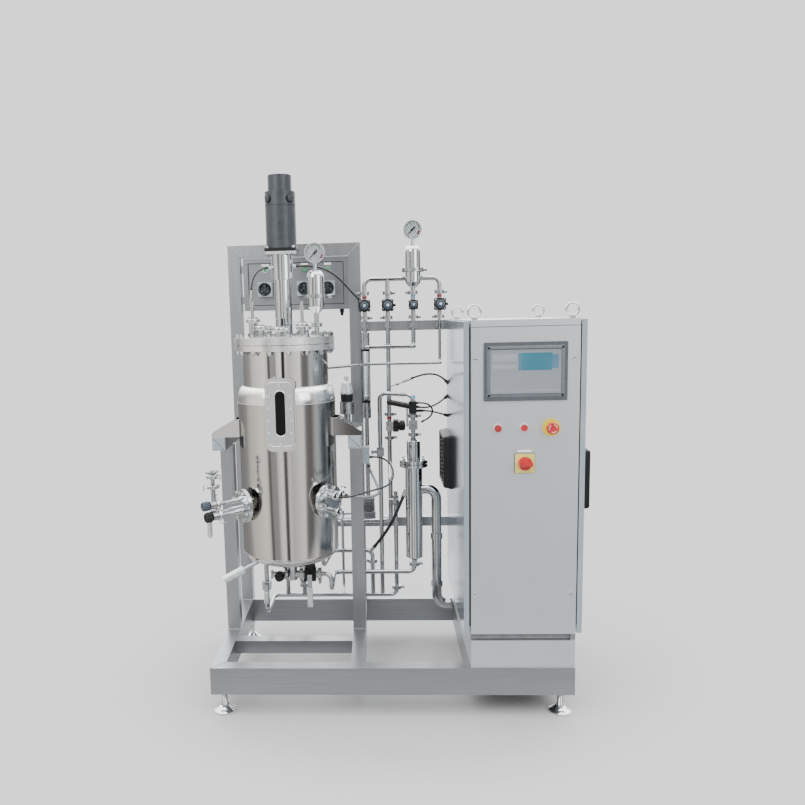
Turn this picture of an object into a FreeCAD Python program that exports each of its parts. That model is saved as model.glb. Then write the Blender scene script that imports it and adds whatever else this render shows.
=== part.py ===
"""Skid-mounted pilot bioreactor: jacketed vessel, pipework and control cabinet on one steel base.

Millimetres, +Z up, X to the right and Y away from the operator. The model is drawn with X = 0 on the
base's middle, Y = 0 on its front face and Z = 0 on the floor, then moved so that the origin is the
bottom centre of everything but the free cables and hoses.
"""
import FreeCAD, Part
import math
import os
from FreeCAD import Vector

# ---- base frame ------------------------------------------------------------------------------------
base_width = 1290.0
base_depth = 700.0
foot_height = 80.0        # floor to the underside of the rails
rail_height = 100.0
rail_width = 50.0
rail_wall = 3.0
cross_rail_height = 50.0
cross_rail_back = 250.0   # middle line of the cross rail, and of the vessel above it
foot_pad_diameter = 80.0
foot_stem_diameter = 20.0
foot_inset = 40.0

# ---- upright frame ---------------------------------------------------------------------------------
post_size = 50.0
post_wall = 2.5
front_post_back = 336.0   # front face of the front posts
mid_post_left = -140.0    # left face of the middle posts
front_post_top = 935.0
beam_front = 200.0        # front end of the two beams that carry the vessel
beam_back = 520.0
upper_beam_top = 1722.0
rear_rail_size = 40.0
high_rail_top = 1395.0
low_rail_top = 550.0

# ---- vessel ----------------------------------------------------------------------------------------
shell_diameter = 316.0
shell_wall = 4.0
jacket_diameter = 362.0
jacket_wall = 3.0
flange_diameter = 366.0
flange_thickness = 20.0
lid_thickness = 25.0
lid_gasket = 2.0
body_flange_top = 1323.0
shoulder_top = 1174.0
shoulder_bottom = 1114.0
jacket_bottom = 552.0
dish_depth = 58.0
lug_height = 66.0
lug_depth = 100.0
lug_plate = 6.0
lid_bolt_count = 16
lid_bolt_circle = 344.0
lid_bolt_diameter = 12.0
port_angle = 50.0         # side ports, either side of straight ahead
port_neck_diameter = 60.0
port_disc_diameter = 124.0
port_disc_thickness = 14.0
port_stand_out = 31.0     # outer face of the disc in front of the jacket
left_port_height = 745.0
right_port_height = 760.0
lid_port_circle = 236.0
outlet_diameter = 40.0    # below the vessel
outlet_height = 440.0     # middle line of the harvest valve

# ---- sight glass -----------------------------------------------------------------------------------
glass_pad_width = 108.0
glass_pad_height = 258.0
glass_pad_middle = 1082.0
glass_plate_width = 96.0
glass_plate_height = 230.0
glass_slot_width = 34.0
glass_slot_height = 156.0
glass_pad_proud = 6.0     # in front of the jacket
glass_plate_thickness = 9.0
glass_thickness = 6.0
glass_screw_pitch = 43.0

# ---- drive -----------------------------------------------------------------------------------------
column_diameter = 63.0
column_wall = 5.0
column_top = 1556.0
bearing_house_diameter = 80.0
bearing_house_top = 1645.0
motor_plate_size = 117.0
motor_plate_thickness = 10.0
motor_flange_size = 114.0
motor_flange_thickness = 12.0
motor_diameter = 110.0
motor_length = 200.0
motor_cap_diameter = 86.0
motor_cap_length = 58.0
shaft_diameter = 20.0
impeller_diameter = 120.0
impeller_heights = (640.0, 860.0)
shaft_bottom = 590.0

# ---- pipework --------------------------------------------------------------------------------------
pipe_diameter = 18.0
pipe_wall = 1.5
thin_pipe_diameter = 12.0
pipe_stand_off = 40.0     # pipe axis in front of the rear posts' faces
clamp_diameter = 50.0
clamp_width = 14.0
valve_column = (-75.0, 20.0, 125.0, 233.0)
valve_height = 1460.0
valve_half = 50.0
manifold_height = 1567.0
filter_diameter = 64.0
filter_split = 1601.0
filter_bottom = 1529.0
filter_height = 171.0
gauge_diameter = 74.0
gauge_depth = 30.0
gauge_drop = 62.0         # filter top to the middle of the dial
pointer_rest = 135.0      # degrees from upright at no pressure
lid_filter_reach = 120.0
lid_filter_bottom = 1434.0
lid_filter_height = 153.0
heater_x = 112.0
heater_y = 450.0
heater_diameter = 68.0
heater_bottom = 441.0
heater_top = 816.0
heater_flange_diameter = 112.0
heater_flange = 14.0
return_pipe_diameter = 40.0
return_pipe_x = 202.0
rotameter_bottom = 993.0
rotameter_top = 1349.0
rotameter_glass_diameter = 29.0
rotameter_nut_diameter = 38.0
crossing_offset = 46.0    # how far crossing pipes pass in front of the others
steam_valve_height = 958.0
thermowell_height = 1122.0
insulated_height = 1058.0
insulated_diameter = 24.0
branch_height = 1105.0
header_y = 520.0
header_height = 252.0
header_riser_x = -20.0
branch_valves = ((-52.0, 372.0), (18.0, 338.0))   # beside the vessel's middle, and height
branch_block = 32.0
cluster_height = 660.0
vent_height = 866.0
jacket_return_height = 564.0
jacket_feed_height = 445.0
heater_feed_height = 376.0
steam_nozzle_height = 1222.0
sensor_head_bottom = 1030.0
return_start_height = 721.0
return_end_height = 240.0
junction_bottom = 850.0
fit = 0.2                 # radial clearance between pieces that slide over each other
press = 0.05              # radial clearance of a running fit

# ---- pump box --------------------------------------------------------------------------------------
pump_box_gap = 12.0       # to the left post
pump_box_bottom = 1451.0
pump_box_top_gap = 4.0    # under the upper beam
pump_box_depth = 140.0
pump_box_set_back = 5.0
pump_box_wall = 2.0
pump_box_edge = 20.0       # folded border around the front
pump_box_recess = 3.0      # of the front behind its border
pump_places = (-489.0, -324.0, -227.0)
pump_height = 1538.0
pump_head_size = 60.0
pump_head_depth = 40.0
rotor_diameter = 42.0
rotor_length = 30.0
green_button_height = 1617.0
green_button_diameter = 20.0

# ---- control cabinet -------------------------------------------------------------------------------
cabinet_width = 360.0
cabinet_front = 5.0       # front face of the door
cabinet_back = 605.0
plinth_height = 100.0
cabinet_top = 1396.0
roof_band = 22.0
floor_band = 24.0
sheet = 2.0
door_thickness = 20.0
door_gap = 2.0            # between the door and the bands above and below it
door_swing_gap = 2.0      # behind the door, for its hinge corner
door_lip = 6.0            # front edge of the shell behind the door
hinge_pin = 5.0
lock_stem = 12.0
side_panel_gap = 6.0
side_panel_thickness = 18.0
panel_width = 276.0
panel_height = 196.0
panel_middle = 1223.0
panel_edge = 12.0         # frame that overlaps the door around its cut-out
lamp_row_height = 1033.0
lamp_x = -91.0            # from the door's middle line
button_x = -3.0
estop_x = 87.0
switch_height = 912.0
lock_inset = 14.0
lock_tongue_width = 9.0
lock_tongue_clearance = 1.6   # between the tongue, turned shut, and the cabinet's wall
control_hole = 22.0       # lamp, push button and emergency stop
lock_heights = (1266.0, 449.0)
hinge_inset = 6.0
fan_size = 216.0
fan_depth = 34.0
fan_middle = 838.0
right_fan_front = 60.0
left_fan_front = 392.0
eye_diameter = 50.0
eye_bar = 8.0

# ---- values that follow ----------------------------------------------------------------------------
deck = foot_height + rail_height
half_base = base_width / 2
left_beam_x = -half_base + post_size / 2
right_beam_x = mid_post_left + post_size / 2
vessel_x = (left_beam_x + right_beam_x) / 2
vessel_y = cross_rail_back
beam_top = front_post_top + post_size
glass_pad_front = jacket_diameter / 2 + glass_pad_proud
port_reach = jacket_diameter / 2 + port_stand_out
rear_post_front = base_depth - post_size
pipe_y = rear_post_front - pipe_stand_off
lid_top = body_flange_top + lid_gasket + lid_thickness
cabinet_right = half_base
cabinet_left = cabinet_right - cabinet_width
cabinet_middle = (cabinet_left + cabinet_right) / 2
cabinet_bottom = deck + plinth_height
door_back = cabinet_front + door_thickness
left_panel_outside = cabinet_left - side_panel_gap - side_panel_thickness
right_panel_outside = cabinet_right + side_panel_gap + side_panel_thickness
motor_bottom = bearing_house_top + motor_plate_thickness + motor_flange_thickness
heater_valve_bottom = heater_top + 2 * heater_flange + 86

X, Y, Z = Vector(1, 0, 0), Vector(0, 1, 0), Vector(0, 0, 1)
nodes = {}


def add(name, *solids):
    """Put solids into a node; a node may be filled in several steps."""
    nodes.setdefault(name, []).extend(solids)


def box(x0, y0, z0, x1, y1, z1):
    return Part.makeBox(x1 - x0, y1 - y0, z1 - z0, Vector(x0, y0, z0))


def rod(start, axis, diameter, length):
    return Part.makeCylinder(diameter / 2, length, start, axis)


def ring(start, axis, outer, inner, length):
    return rod(start, axis, outer, length).cut(rod(start, axis, inner, length))


def prism(points, direction):
    """A closed flat outline pushed along a vector."""
    return Part.Face(Part.makePolygon(points + points[:1])).extrude(direction)


def turned(profile, x, y):
    """A solid of revolution about the vertical through (x, y), from (radius, height) points."""
    points = [Vector(x + radius, y, height) for radius, height in profile]
    face = Part.Face(Part.makePolygon(points + points[:1]))
    return face.revolve(Vector(x, y, 0), Z, 360)


def fused(*solids):
    return solids[0].fuse(list(solids[1:])).removeSplitter()


def tube_box(x0, y0, z0, x1, y1, z1, along, wall):
    """A square tube with open ends, along one of the axes x, y or z."""
    inner = {"x": (0, wall, wall), "y": (wall, 0, wall), "z": (wall, wall, 0)}[along]
    bore = box(x0 + inner[0], y0 + inner[1], z0 + inner[2], x1 - inner[0], y1 - inner[1], z1 - inner[2])
    return box(x0, y0, z0, x1, y1, z1).cut(bore)


def bent_wire(points, bend_radius=None):
    """Straight runs joined by tangent arcs. A pipe has one radius; a cord's arcs are as large as its
    runs allow."""
    points = [Vector(*p) for p in points]
    edges = []
    radii = []
    start = points[0]
    for before, corner, after in zip(points, points[1:], points[2:]):
        into = corner - before
        out = after - corner
        shorter = min(into.Length, out.Length)
        into.normalize()
        out.normalize()
        turn = into.getAngle(out)
        radius = bend_radius or 0.45 * shorter / math.tan(turn / 2)
        reach = radius * math.tan(turn / 2)
        arc_start = corner - into * reach
        arc_end = corner + out * reach
        towards = out - into
        towards.normalize()
        centre = corner + towards * (radius / math.cos(turn / 2))
        arc_middle = centre - towards * radius
        if (arc_start - start).Length > 1e-6:
            edges.append(Part.LineSegment(start, arc_start).toShape())
        edges.append(Part.Arc(arc_start, arc_middle, arc_end).toShape())
        radii.append(radius)
        start = arc_end
    edges.append(Part.LineSegment(start, points[-1]).toShape())
    return Part.Wire(edges), radii


def swept(points, diameter, bend_radius=None):
    wire, radii = bent_wire(points, bend_radius)
    first = Vector(*points[1]) - Vector(*points[0])
    circle = Part.Wire(Part.makeCircle(diameter / 2, Vector(*points[0]), first))
    solid = wire.makePipeShell([circle], True, True)
    return solid, wire, radii


def pipe(points, diameter=pipe_diameter, wall=pipe_wall, bend=None):
    """A bent steel tube. Its bends have a middle-line radius of one and a half diameters."""
    bend = bend or 1.5 * diameter
    if len(points) == 2:
        start = Vector(*points[0])
        run = Vector(*points[1]) - start
        return ring(start, run, diameter, diameter - 2 * wall, run.Length)
    outer = swept(points, diameter, bend)[0]
    return outer.cut(swept(points, diameter - 2 * wall, bend)[0])


# ---- cables and hoses: diameter and route of each --------------------------------------------------
cords = {
    "valve_air_hose": (8.0, [(-322.5, 276, 1606), (-303, 287.3, 1607.5), (-275, 315, 1610), (-240, 362, 1606),
                             (-208, 416, 1594), (-178, 470, 1574), (-152, 520, 1546), (-122, 563, 1512),
                             (-95.5, 575.7, 1484.5)]),
    "lid_cable": (6.0, [(-416.4, 232.2, 1600), (-434, 226, 1598), (-453, 218, 1588), (-467, 211, 1568),
                        (-475, 206.5, 1542), (-477, 205.8, 1520)]),
    "cabinet_cable_1": (8.0, [(112, 590, 1157), (142, 585, 1168), (176, 578.5, 1176), (209, 571.5, 1175),
                              (235, 565, 1164), (252, 560, 1148)]),
    "cabinet_cable_2": (7.0, [(130, 452, 1055), (152, 458, 1051), (179, 474, 1051), (206, 500, 1057),
                              (230, 531, 1067), (250, 560, 1078)]),
    "cabinet_cable_3": (7.0, [(148, 448, 1040), (171, 465, 1037), (198, 493, 1029), (224, 526, 1018),
                              (249, 560, 1007)]),
    "cabinet_cable_4": (7.0, [(126, 441, 1072), (150, 440, 1073), (174, 440, 1066), (190, 441, 1047),
                              (186, 444, 1023), (168, 447, 1006), (145, 449, 995)]),
    "port_hose": (10.0, [(-147.3, 86.1, 787.7), (-127.4, 69.4, 787.7), (-102.7, 61.4, 787),
                         (-76.8, 63.2, 786), (-53.4, 74.6, 785), (-35, 98, 786), (-29, 134, 788),
                         (-31, 174, 790), (-36, 216, 794), (-42, 260, 799), (-50, 300, 807),
                         (-59, 332, 820), (-67, 352, 840)]),
    "port_cable": (7.0, [(-167.9, 61.5, 787.7), (-148, 44.8, 789), (-120, 34, 797), (-88, 33, 807),
                         (-56, 44, 813), (-27, 68, 815), (-2, 104, 815), (15, 148, 818), (25, 196, 829),
                         (25, 244, 846), (13, 288, 863), (-9, 324, 873), (-33, 349, 875),
                         (-60, 363, 872)]),
    "drain_hose": (13.0, [(70, 448, 694), (52, 449, 651), (33, 453, 607), (12, 461, 564),
                          (-12, 473, 524), (-34, 486, 492), (-50, 500, 468)]),
}


def gland(cord_name, end, diameter, length):
    """The short socket that a cord comes out of, in line with the cord's first or last run."""
    points = [Vector(*p) for p in cords[cord_name][1]]
    tip, neighbour = (points[0], points[1]) if end == "start" else (points[-1], points[-2])
    return rod(tip, tip - neighbour, diameter, length)


# ---- base ------------------------------------------------------------------------------------------
def base_frame():
    """Four mitred rectangular tubes, the middle rail between front and rear, and the cross rail."""
    left, right, front, back = -half_base, half_base, 0.0, base_depth
    corners = [(left, front), (right, front), (right, back), (left, back)]
    inward = [(1, 1), (-1, 1), (-1, -1), (1, -1)]

    def quad(first, second, near, far, low, high):
        """The plan of one side of the mitred frame, between two distances from its outer face."""
        plan = []
        for corner, distance in ((first, near), (second, near), (second, far), (first, far)):
            x = corners[corner][0] + inward[corner][0] * distance
            y = corners[corner][1] + inward[corner][1] * distance
            plan.append(Vector(x, y, low))
        return prism(plan, Vector(0, 0, high - low))

    for first in range(4):
        second = (first + 1) % 4
        outer = quad(first, second, 0, rail_width, foot_height, deck)
        hollow = quad(first, second, rail_wall, rail_width - rail_wall, foot_height + rail_wall,
                      deck - rail_wall)
        add("base_frame", outer.cut(hollow))
    mid_left = mid_post_left
    add("base_frame", tube_box(mid_left, rail_width, foot_height, mid_left + rail_width,
                               base_depth - rail_width, deck, "y", rail_wall))
    add("base_frame", tube_box(left + rail_width, cross_rail_back - rail_width / 2,
                               deck - cross_rail_height, mid_left, cross_rail_back + rail_width / 2,
                               deck, "x", rail_wall))
    inner_left = cabinet_left
    add("base_frame", tube_box(inner_left, rail_width, foot_height, inner_left + rail_width,
                               base_depth - rail_width, deck, "y", rail_wall))


def levelling_feet():
    """A round pad, a ball-ended stem and a lock nut under each corner."""
    for x in (-half_base + foot_inset, half_base - foot_inset):
        for y in (foot_inset, base_depth - foot_inset):
            pad = turned([(0, 0), (foot_pad_diameter / 2, 0), (foot_pad_diameter / 2, 6),
                          (foot_pad_diameter / 2 - 12, 14), (16, 24), (0, 24)], x, y)
            stem = rod(Vector(x, y, 24), Z, foot_stem_diameter, foot_height - 24)
            nut = prism([Vector(x + 16 * math.cos(a), y + 16 * math.sin(a), foot_height - 14)
                         for a in [math.radians(60 * i) for i in range(6)]], Vector(0, 0, 14))
            add("levelling_feet", fused(pad, stem, nut))


def upright_frame():
    """Front posts, rear posts joined by the mitred upper beam, rear rails and the two vessel beams."""
    size, wall = post_size, post_wall
    left = -half_base
    mid = mid_post_left
    front = front_post_back
    back = rear_post_front
    for x in (left, mid):
        add("upright_frame", tube_box(x, front, deck, x + size, front + size, front_post_top, "z", wall))
        add("upright_frame", tube_box(x, beam_front, front_post_top, x + size, beam_back, beam_top,
                                      "y", wall))

    def mitred(points, hollow):
        outer = prism([Vector(x, back, z) for x, z in points], Vector(0, size, 0))
        inner = prism([Vector(x, back + wall, z) for x, z in hollow], Vector(0, size - 2 * wall, 0))
        add("upright_frame", outer.cut(inner))

    top = upper_beam_top
    right = mid + size
    mitred([(left, deck), (left + size, deck), (left + size, top - size), (left, top)],
           [(left + wall, deck), (left + size - wall, deck), (left + size - wall, top - size + wall),
            (left + wall, top - wall)])
    mitred([(left, top), (right, top), (right - size, top - size), (left + size, top - size)],
           [(left + wall, top - wall), (right - wall, top - wall), (right - size + wall, top - size + wall),
            (left + size - wall, top - size + wall)])
    mitred([(right, deck), (right, top), (right - size, top - size), (right - size, deck)],
           [(right - wall, deck), (right - wall, top - wall), (right - size + wall, top - size + wall),
            (right - size + wall, deck)])
    far = half_base - size
    add("upright_frame", tube_box(far, back, deck, half_base, back + size, high_rail_top, "z", wall))
    small = rear_rail_size
    for rail_top in (high_rail_top, low_rail_top):
        add("upright_frame", tube_box(right, back, rail_top - small, far, back + small, rail_top, "x",
                                      wall))
    add("upright_frame", tube_box(left + size, back, low_rail_top - small, mid, back + small,
                                  low_rail_top, "x", wall))


# ---- vessel ----------------------------------------------------------------------------------------
def dish(radius, height, depth, steps=8):
    """Points of a dished end from its rim to its middle: an ellipse quarter."""
    points = []
    for i in range(steps + 1):
        angle = math.radians(90 * i / steps)
        points.append((radius * math.cos(angle), height - depth * math.sin(angle)))
    return points


def vessel_envelope(grown=0.0):
    """The closed outer shape of jacket, shell and flange, to cut what meets the vessel."""
    profile = [(0, body_flange_top), (flange_diameter / 2 + grown, body_flange_top),
               (flange_diameter / 2 + grown, body_flange_top - flange_thickness),
               (shell_diameter / 2 + grown, body_flange_top - flange_thickness),
               (shell_diameter / 2 + grown, shoulder_top), (jacket_diameter / 2 + grown, shoulder_bottom)]
    profile += dish(jacket_diameter / 2 + grown, jacket_bottom, dish_depth)
    return turned(profile, vessel_x, vessel_y)


def inner_shell_parts():
    outer = shell_diameter / 2
    inner = outer - shell_wall
    lift = 24.0               # the shell's dish above the jacket's dish
    depth = dish_depth - 8
    rim = body_flange_top - flange_thickness
    profile = [(outer, rim)] + dish(outer, jacket_bottom + lift, depth)
    inside = dish(inner, jacket_bottom + lift, depth - shell_wall)
    profile += inside[::-1] + [(inner, body_flange_top), (flange_diameter / 2, body_flange_top),
                               (flange_diameter / 2, rim)]
    return profile


def bolt_places(count, circle, turn=0.0):
    for i in range(count):
        angle = math.radians(360.0 * i / count + turn)
        yield vessel_x + circle / 2 * math.cos(angle), vessel_y + circle / 2 * math.sin(angle)


def outward(angle_from_front):
    """Unit vector away from the vessel's axis; 0 is straight ahead, positive to the right."""
    angle = math.radians(angle_from_front)
    return Vector(math.sin(angle), -math.cos(angle), 0)


def at_vessel(angle_from_front, reach, height):
    way = outward(angle_from_front)
    return Vector(vessel_x + way.x * reach, vessel_y + way.y * reach, height)


def oblong(width, height, front, thickness, middle):
    """A plate with round ends, facing the front, its front face at that Y."""
    straight = height - width
    z0 = middle - straight / 2
    plate = box(vessel_x - width / 2, front, z0, vessel_x + width / 2, front + thickness, z0 + straight)
    for z in (z0, z0 + straight):
        plate = plate.fuse(rod(Vector(vessel_x, front, z), Y, width, thickness))
    return plate.removeSplitter()


def rounded_plate(x, front, z, width, height, thickness, corner):
    plate = box(x - width / 2, front, z - height / 2, x + width / 2, front + thickness, z + height / 2)
    edges = [e for e in plate.Edges if abs(e.tangentAt(e.FirstParameter).y) > 0.9]
    return plate.makeFillet(corner, edges)


def vessel():
    shell = turned(inner_shell_parts(), vessel_x, vessel_y)
    for x, y in bolt_places(lid_bolt_count, lid_bolt_circle, 11.25):
        hole = rod(Vector(x, y, body_flange_top - flange_thickness), Z, lid_bolt_diameter + 2 * fit,
                   flange_thickness)
        shell = shell.cut(hole)
    radius = jacket_diameter / 2
    profile = [(shell_diameter / 2 + press, shoulder_top), (radius, shoulder_bottom)]
    profile += dish(radius, jacket_bottom, dish_depth)
    inside = dish(radius - jacket_wall, jacket_bottom, dish_depth - jacket_wall)
    profile += inside[::-1] + [(radius - jacket_wall, shoulder_bottom - 2),
                               (shell_diameter / 2 + press, shoulder_top - 6)]
    jacket = turned(profile, vessel_x, vessel_y)
    axis_y = vessel_y
    pad_front = axis_y - glass_pad_front
    pad_depth = glass_pad_front - shell_diameter / 2 + 20
    pad = rounded_plate(vessel_x, pad_front, glass_pad_middle, glass_pad_width, glass_pad_height,
                        pad_depth, glass_pad_width * 0.22)
    around_shell = rod(Vector(vessel_x, axis_y, glass_pad_middle - glass_pad_height), Z,
                       shell_diameter + 2 * press, 2 * glass_pad_height)
    window = oblong(glass_slot_width, glass_slot_height, pad_front, 120, glass_pad_middle + 6)
    jacket = jacket.fuse(pad.cut(around_shell)).cut(window)
    shell = shell.cut(window)
    outlet_hole = rod(Vector(vessel_x, vessel_y, outlet_height), Z, outlet_diameter, 260)
    shell = shell.cut(outlet_hole)
    jacket = jacket.cut(outlet_hole)
    add("vessel_shell", shell)
    inside_jacket = rod(Vector(vessel_x, vessel_y, 400), Z, jacket_diameter - 2, 900)
    for side in (-1, 1):
        jacket = jacket.fuse(lug(side).cut(inside_jacket))
        reach_start = at_vessel(side * port_angle, jacket_diameter / 2 - 8,
                                left_port_height if side < 0 else right_port_height)
        neck_length = port_reach - port_disc_thickness - jacket_diameter / 2 + 8
        neck = rod(reach_start, outward(side * port_angle), port_neck_diameter, neck_length)
        jacket = jacket.fuse(neck.cut(rod(Vector(vessel_x, vessel_y, 400), Z, jacket_diameter - 12, 900)))
    add("jacket_shell", jacket.removeSplitter())
    tube = ring(Vector(vessel_x, vessel_y, outlet_height + 20), Z, outlet_diameter - 2 * fit,
                outlet_diameter - 6, 70)
    add("vessel_fittings", tube)


def lug(side):
    """A folded bracket: a base plate on the beam and two sloped cheeks against the jacket."""
    beam_x = left_beam_x if side < 0 else right_beam_x
    tip = beam_x + side * post_size / 2
    root = vessel_x + side * (jacket_diameter / 2 - 12)
    front = vessel_y - lug_depth / 2
    z0 = beam_top
    slope_start = vessel_x + side * (jacket_diameter / 2 + 10)
    outline = [(root, z0), (tip, z0), (tip, z0 + 16), (slope_start, z0 + lug_height),
               (root, z0 + lug_height)]
    body = None
    for y in (front, front + lug_depth - lug_plate):
        cheek = prism([Vector(x, y, z) for x, z in outline], Vector(0, lug_plate, 0))
        body = cheek if body is None else body.fuse(cheek)
    base_plate = box(min(root, tip), front, z0, max(root, tip), front + lug_depth, z0 + lug_plate)
    top = prism([Vector(tip, front, z0 + 16), Vector(slope_start, front, z0 + lug_height),
                 Vector(slope_start, front, z0 + lug_height - lug_plate),
                 Vector(tip, front, z0 + 16 - lug_plate)], Vector(0, lug_depth, 0))
    return body.fuse(base_plate).fuse(top)


def lid():
    """A flat turned lid with bolt holes, the drive column's socket and its port stubs."""
    z0 = body_flange_top + lid_gasket
    plate = ring(Vector(vessel_x, vessel_y, z0), Z, flange_diameter, column_diameter - 2 * column_wall,
                 lid_thickness)
    gasket = ring(Vector(vessel_x, vessel_y, body_flange_top), Z, lid_bolt_circle - 2 * lid_bolt_diameter,
                  shell_diameter - 2 * shell_wall, lid_gasket)
    for x, y in bolt_places(lid_bolt_count, lid_bolt_circle, 11.25):
        plate = plate.cut(rod(Vector(x, y, z0), Z, lid_bolt_diameter + 2 * fit, lid_thickness))
    add("lid", plate, gasket)
    for x, y in bolt_places(lid_bolt_count, lid_bolt_circle, 11.25):
        low = body_flange_top - flange_thickness
        shank = rod(Vector(x, y, low - 16), Z, lid_bolt_diameter, lid_top - low + 32)

        def hexagon(height, thickness):
            points = [Vector(x + 10.4 * math.cos(math.radians(60 * i)),
                             y + 10.4 * math.sin(math.radians(60 * i)), height) for i in range(6)]
            return prism(points, Vector(0, 0, thickness))

        add("vessel_bolts", fused(shank, hexagon(low - 10, 10), hexagon(lid_top, 12)))


def lid_fittings():
    """Ports around the lid: a stub, a clamp ring and a cap, each of its own height."""
    ports = [(-50, 34, 44), (-92, 40, 30), (-128, 34, 36), (-158, 40, 62), (165, 34, 62), (128, 40, 28),
             (95, 34, 40), (58, 50, 30)]        # angle, collar diameter, height
    for angle, diameter, height in ports:
        turn = math.radians(angle)
        x = vessel_x + lid_port_circle / 2 * math.cos(turn)
        y = vessel_y + lid_port_circle / 2 * math.sin(turn)
        stub = rod(Vector(x, y, lid_top), Z, diameter - 12, height)
        collar = rod(Vector(x, y, lid_top + height - 8), Z, diameter, 14)
        cap = rod(Vector(x, y, lid_top + height + 6), Z, diameter - 8, 5)
        top = lid_top + height + 11
        pieces = [stub, collar, cap]
        if angle in (-50, -158):
            pieces += [rod(Vector(x, y, top), Z, 12, 40), rod(Vector(x, y, top + 40), Z, 20, 16)]
        if angle == -50:
            pieces.append(rod(Vector(x, y, top + 56), Z, 13, 14))
        if angle == -158:
            pieces.append(gland("lid_cable", "end", 11, 42))
        add("vessel_fittings", fused(*pieces))


def side_ports():
    """The disc, ring and probes on each side port."""
    sides = ((-1, left_port_height, 24, (90, 210, 330)), (1, right_port_height, 32, (60, 120, 270)))
    for side, height, spread, places in sides:
        way = outward(side * port_angle)
        disc = rod(at_vessel(side * port_angle, port_reach - port_disc_thickness, height), way,
                   port_disc_diameter, port_disc_thickness)
        boss = rod(at_vessel(side * port_angle, port_reach, height), way, 78, 10)
        across = Vector(way.y, -way.x, 0) * -1
        pieces = [disc, boss]
        for angle in [math.radians(place) for place in places]:
            place = at_vessel(side * port_angle, port_reach + 10, height)
            place = place + across * (spread * math.cos(angle)) + Z * (spread * math.sin(angle))
            pieces.append(rod(place, way, 20, 30))
            pieces.append(rod(place + way * 30, way, 14, 22))
        add("vessel_fittings", fused(*pieces))


def sight_glass():
    front = vessel_y - glass_pad_front - glass_plate_thickness
    middle = glass_pad_middle + 6
    plate = rounded_plate(vessel_x, front, glass_pad_middle + 3, glass_plate_width, glass_plate_height,
                          glass_plate_thickness, glass_plate_width * 0.24)
    slot = oblong(glass_slot_width, glass_slot_height, front - 1, 40, middle)
    seat = oblong(glass_slot_width + 12, glass_slot_height + 12,
                  front + glass_plate_thickness - glass_thickness, 40, middle)
    places = [(0, 103), (0, -103)]
    for side in (-1, 1):
        for i in range(4):
            places.append((side * 38, (i - 1.5) * glass_screw_pitch))
    plate = plate.cut(slot).cut(seat)
    for dx, dz in places:
        hole = rod(Vector(vessel_x + dx, front, glass_pad_middle + 3 + dz), Y, 6 + 2 * fit,
                   glass_plate_thickness)
        plate = plate.cut(hole)
        head = rod(Vector(vessel_x + dx, front - 6, glass_pad_middle + 3 + dz), Y, 10, 6)
        shank = rod(Vector(vessel_x + dx, front, glass_pad_middle + 3 + dz), Y, 6, glass_plate_thickness)
        add("vessel_bolts", fused(head, shank))
    add("sight_glass_frame", plate)
    pane = oblong(glass_slot_width + 12 - 2 * fit, glass_slot_height + 12 - 2 * fit,
                  front + glass_plate_thickness - glass_thickness, glass_thickness, middle)
    add("sight_glass_pane", pane)


# ---- drive -----------------------------------------------------------------------------------------
def drive():
    x, y = vessel_x, vessel_y
    column = ring(Vector(x, y, lid_top), Z, column_diameter, column_diameter - 2 * column_wall,
                  column_top - lid_top)
    foot = ring(Vector(x, y, lid_top), Z, 96, column_diameter - 2 * column_wall, 12)
    house = ring(Vector(x, y, column_top), Z, bearing_house_diameter, shaft_diameter + 2 * press,
                 bearing_house_top - column_top)
    window = box(x - 9, y - 60, lid_top + 28, x + 9, y + 60, lid_top + 66)
    plate = rounded_plate_flat(x, y, bearing_house_top, motor_plate_size, motor_plate_thickness, 8)
    plate = plate.cut(rod(Vector(x, y, bearing_house_top), Z, shaft_diameter + 2 * press,
                          motor_plate_thickness))
    glands = [gland("valve_air_hose", "start", 13, 14), gland("lid_cable", "start", 11, 14)]
    column = column.cut(window).fuse(foot)
    glands = [g.cut(rod(Vector(x, y, column_top), Z, bearing_house_diameter - 8, 100)) for g in glands]
    add("motor_lantern", fused(column, house, plate, *glands))
    z = bearing_house_top + motor_plate_thickness
    flange = rounded_plate_flat(x, y, z, motor_flange_size, motor_flange_thickness, 12)
    shell = rod(Vector(x, y, motor_bottom), Z, motor_diameter, motor_length)
    cap = rod(Vector(x, y, motor_bottom + motor_length), Z, motor_cap_diameter, motor_cap_length)
    motor = fused(flange, shell, cap)
    motor = motor.cut(rod(Vector(x, y, z), Z, shaft_diameter + 2 * fit, 30))
    add("motor", motor)
    shaft = rod(Vector(x, y, shaft_bottom), Z, shaft_diameter, z + 20 - shaft_bottom)
    pieces = [shaft]
    for height in impeller_heights:
        pieces.append(rod(Vector(x, y, height - 15), Z, 34, 30))
        pieces.append(rod(Vector(x, y, height - 2), Z, impeller_diameter * 0.7, 4))
        for i in range(6):
            blade = box(impeller_diameter * 0.25, -1.5, height - 12, impeller_diameter / 2, 1.5,
                        height + 12)
            blade.rotate(Vector(0, 0, 0), Z, 60 * i)
            blade.translate(Vector(x, y, 0))
            pieces.append(blade)
    add("agitator", fused(*pieces))


def rounded_plate_flat(x, y, z, size, thickness, corner):
    """A square plate lying flat, with round corners."""
    plate = box(x - size / 2, y - size / 2, z, x + size / 2, y + size / 2, z + thickness)
    edges = [e for e in plate.Edges if abs(e.tangentAt(e.FirstParameter).z) > 0.9]
    return plate.makeFillet(corner, edges)


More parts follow.
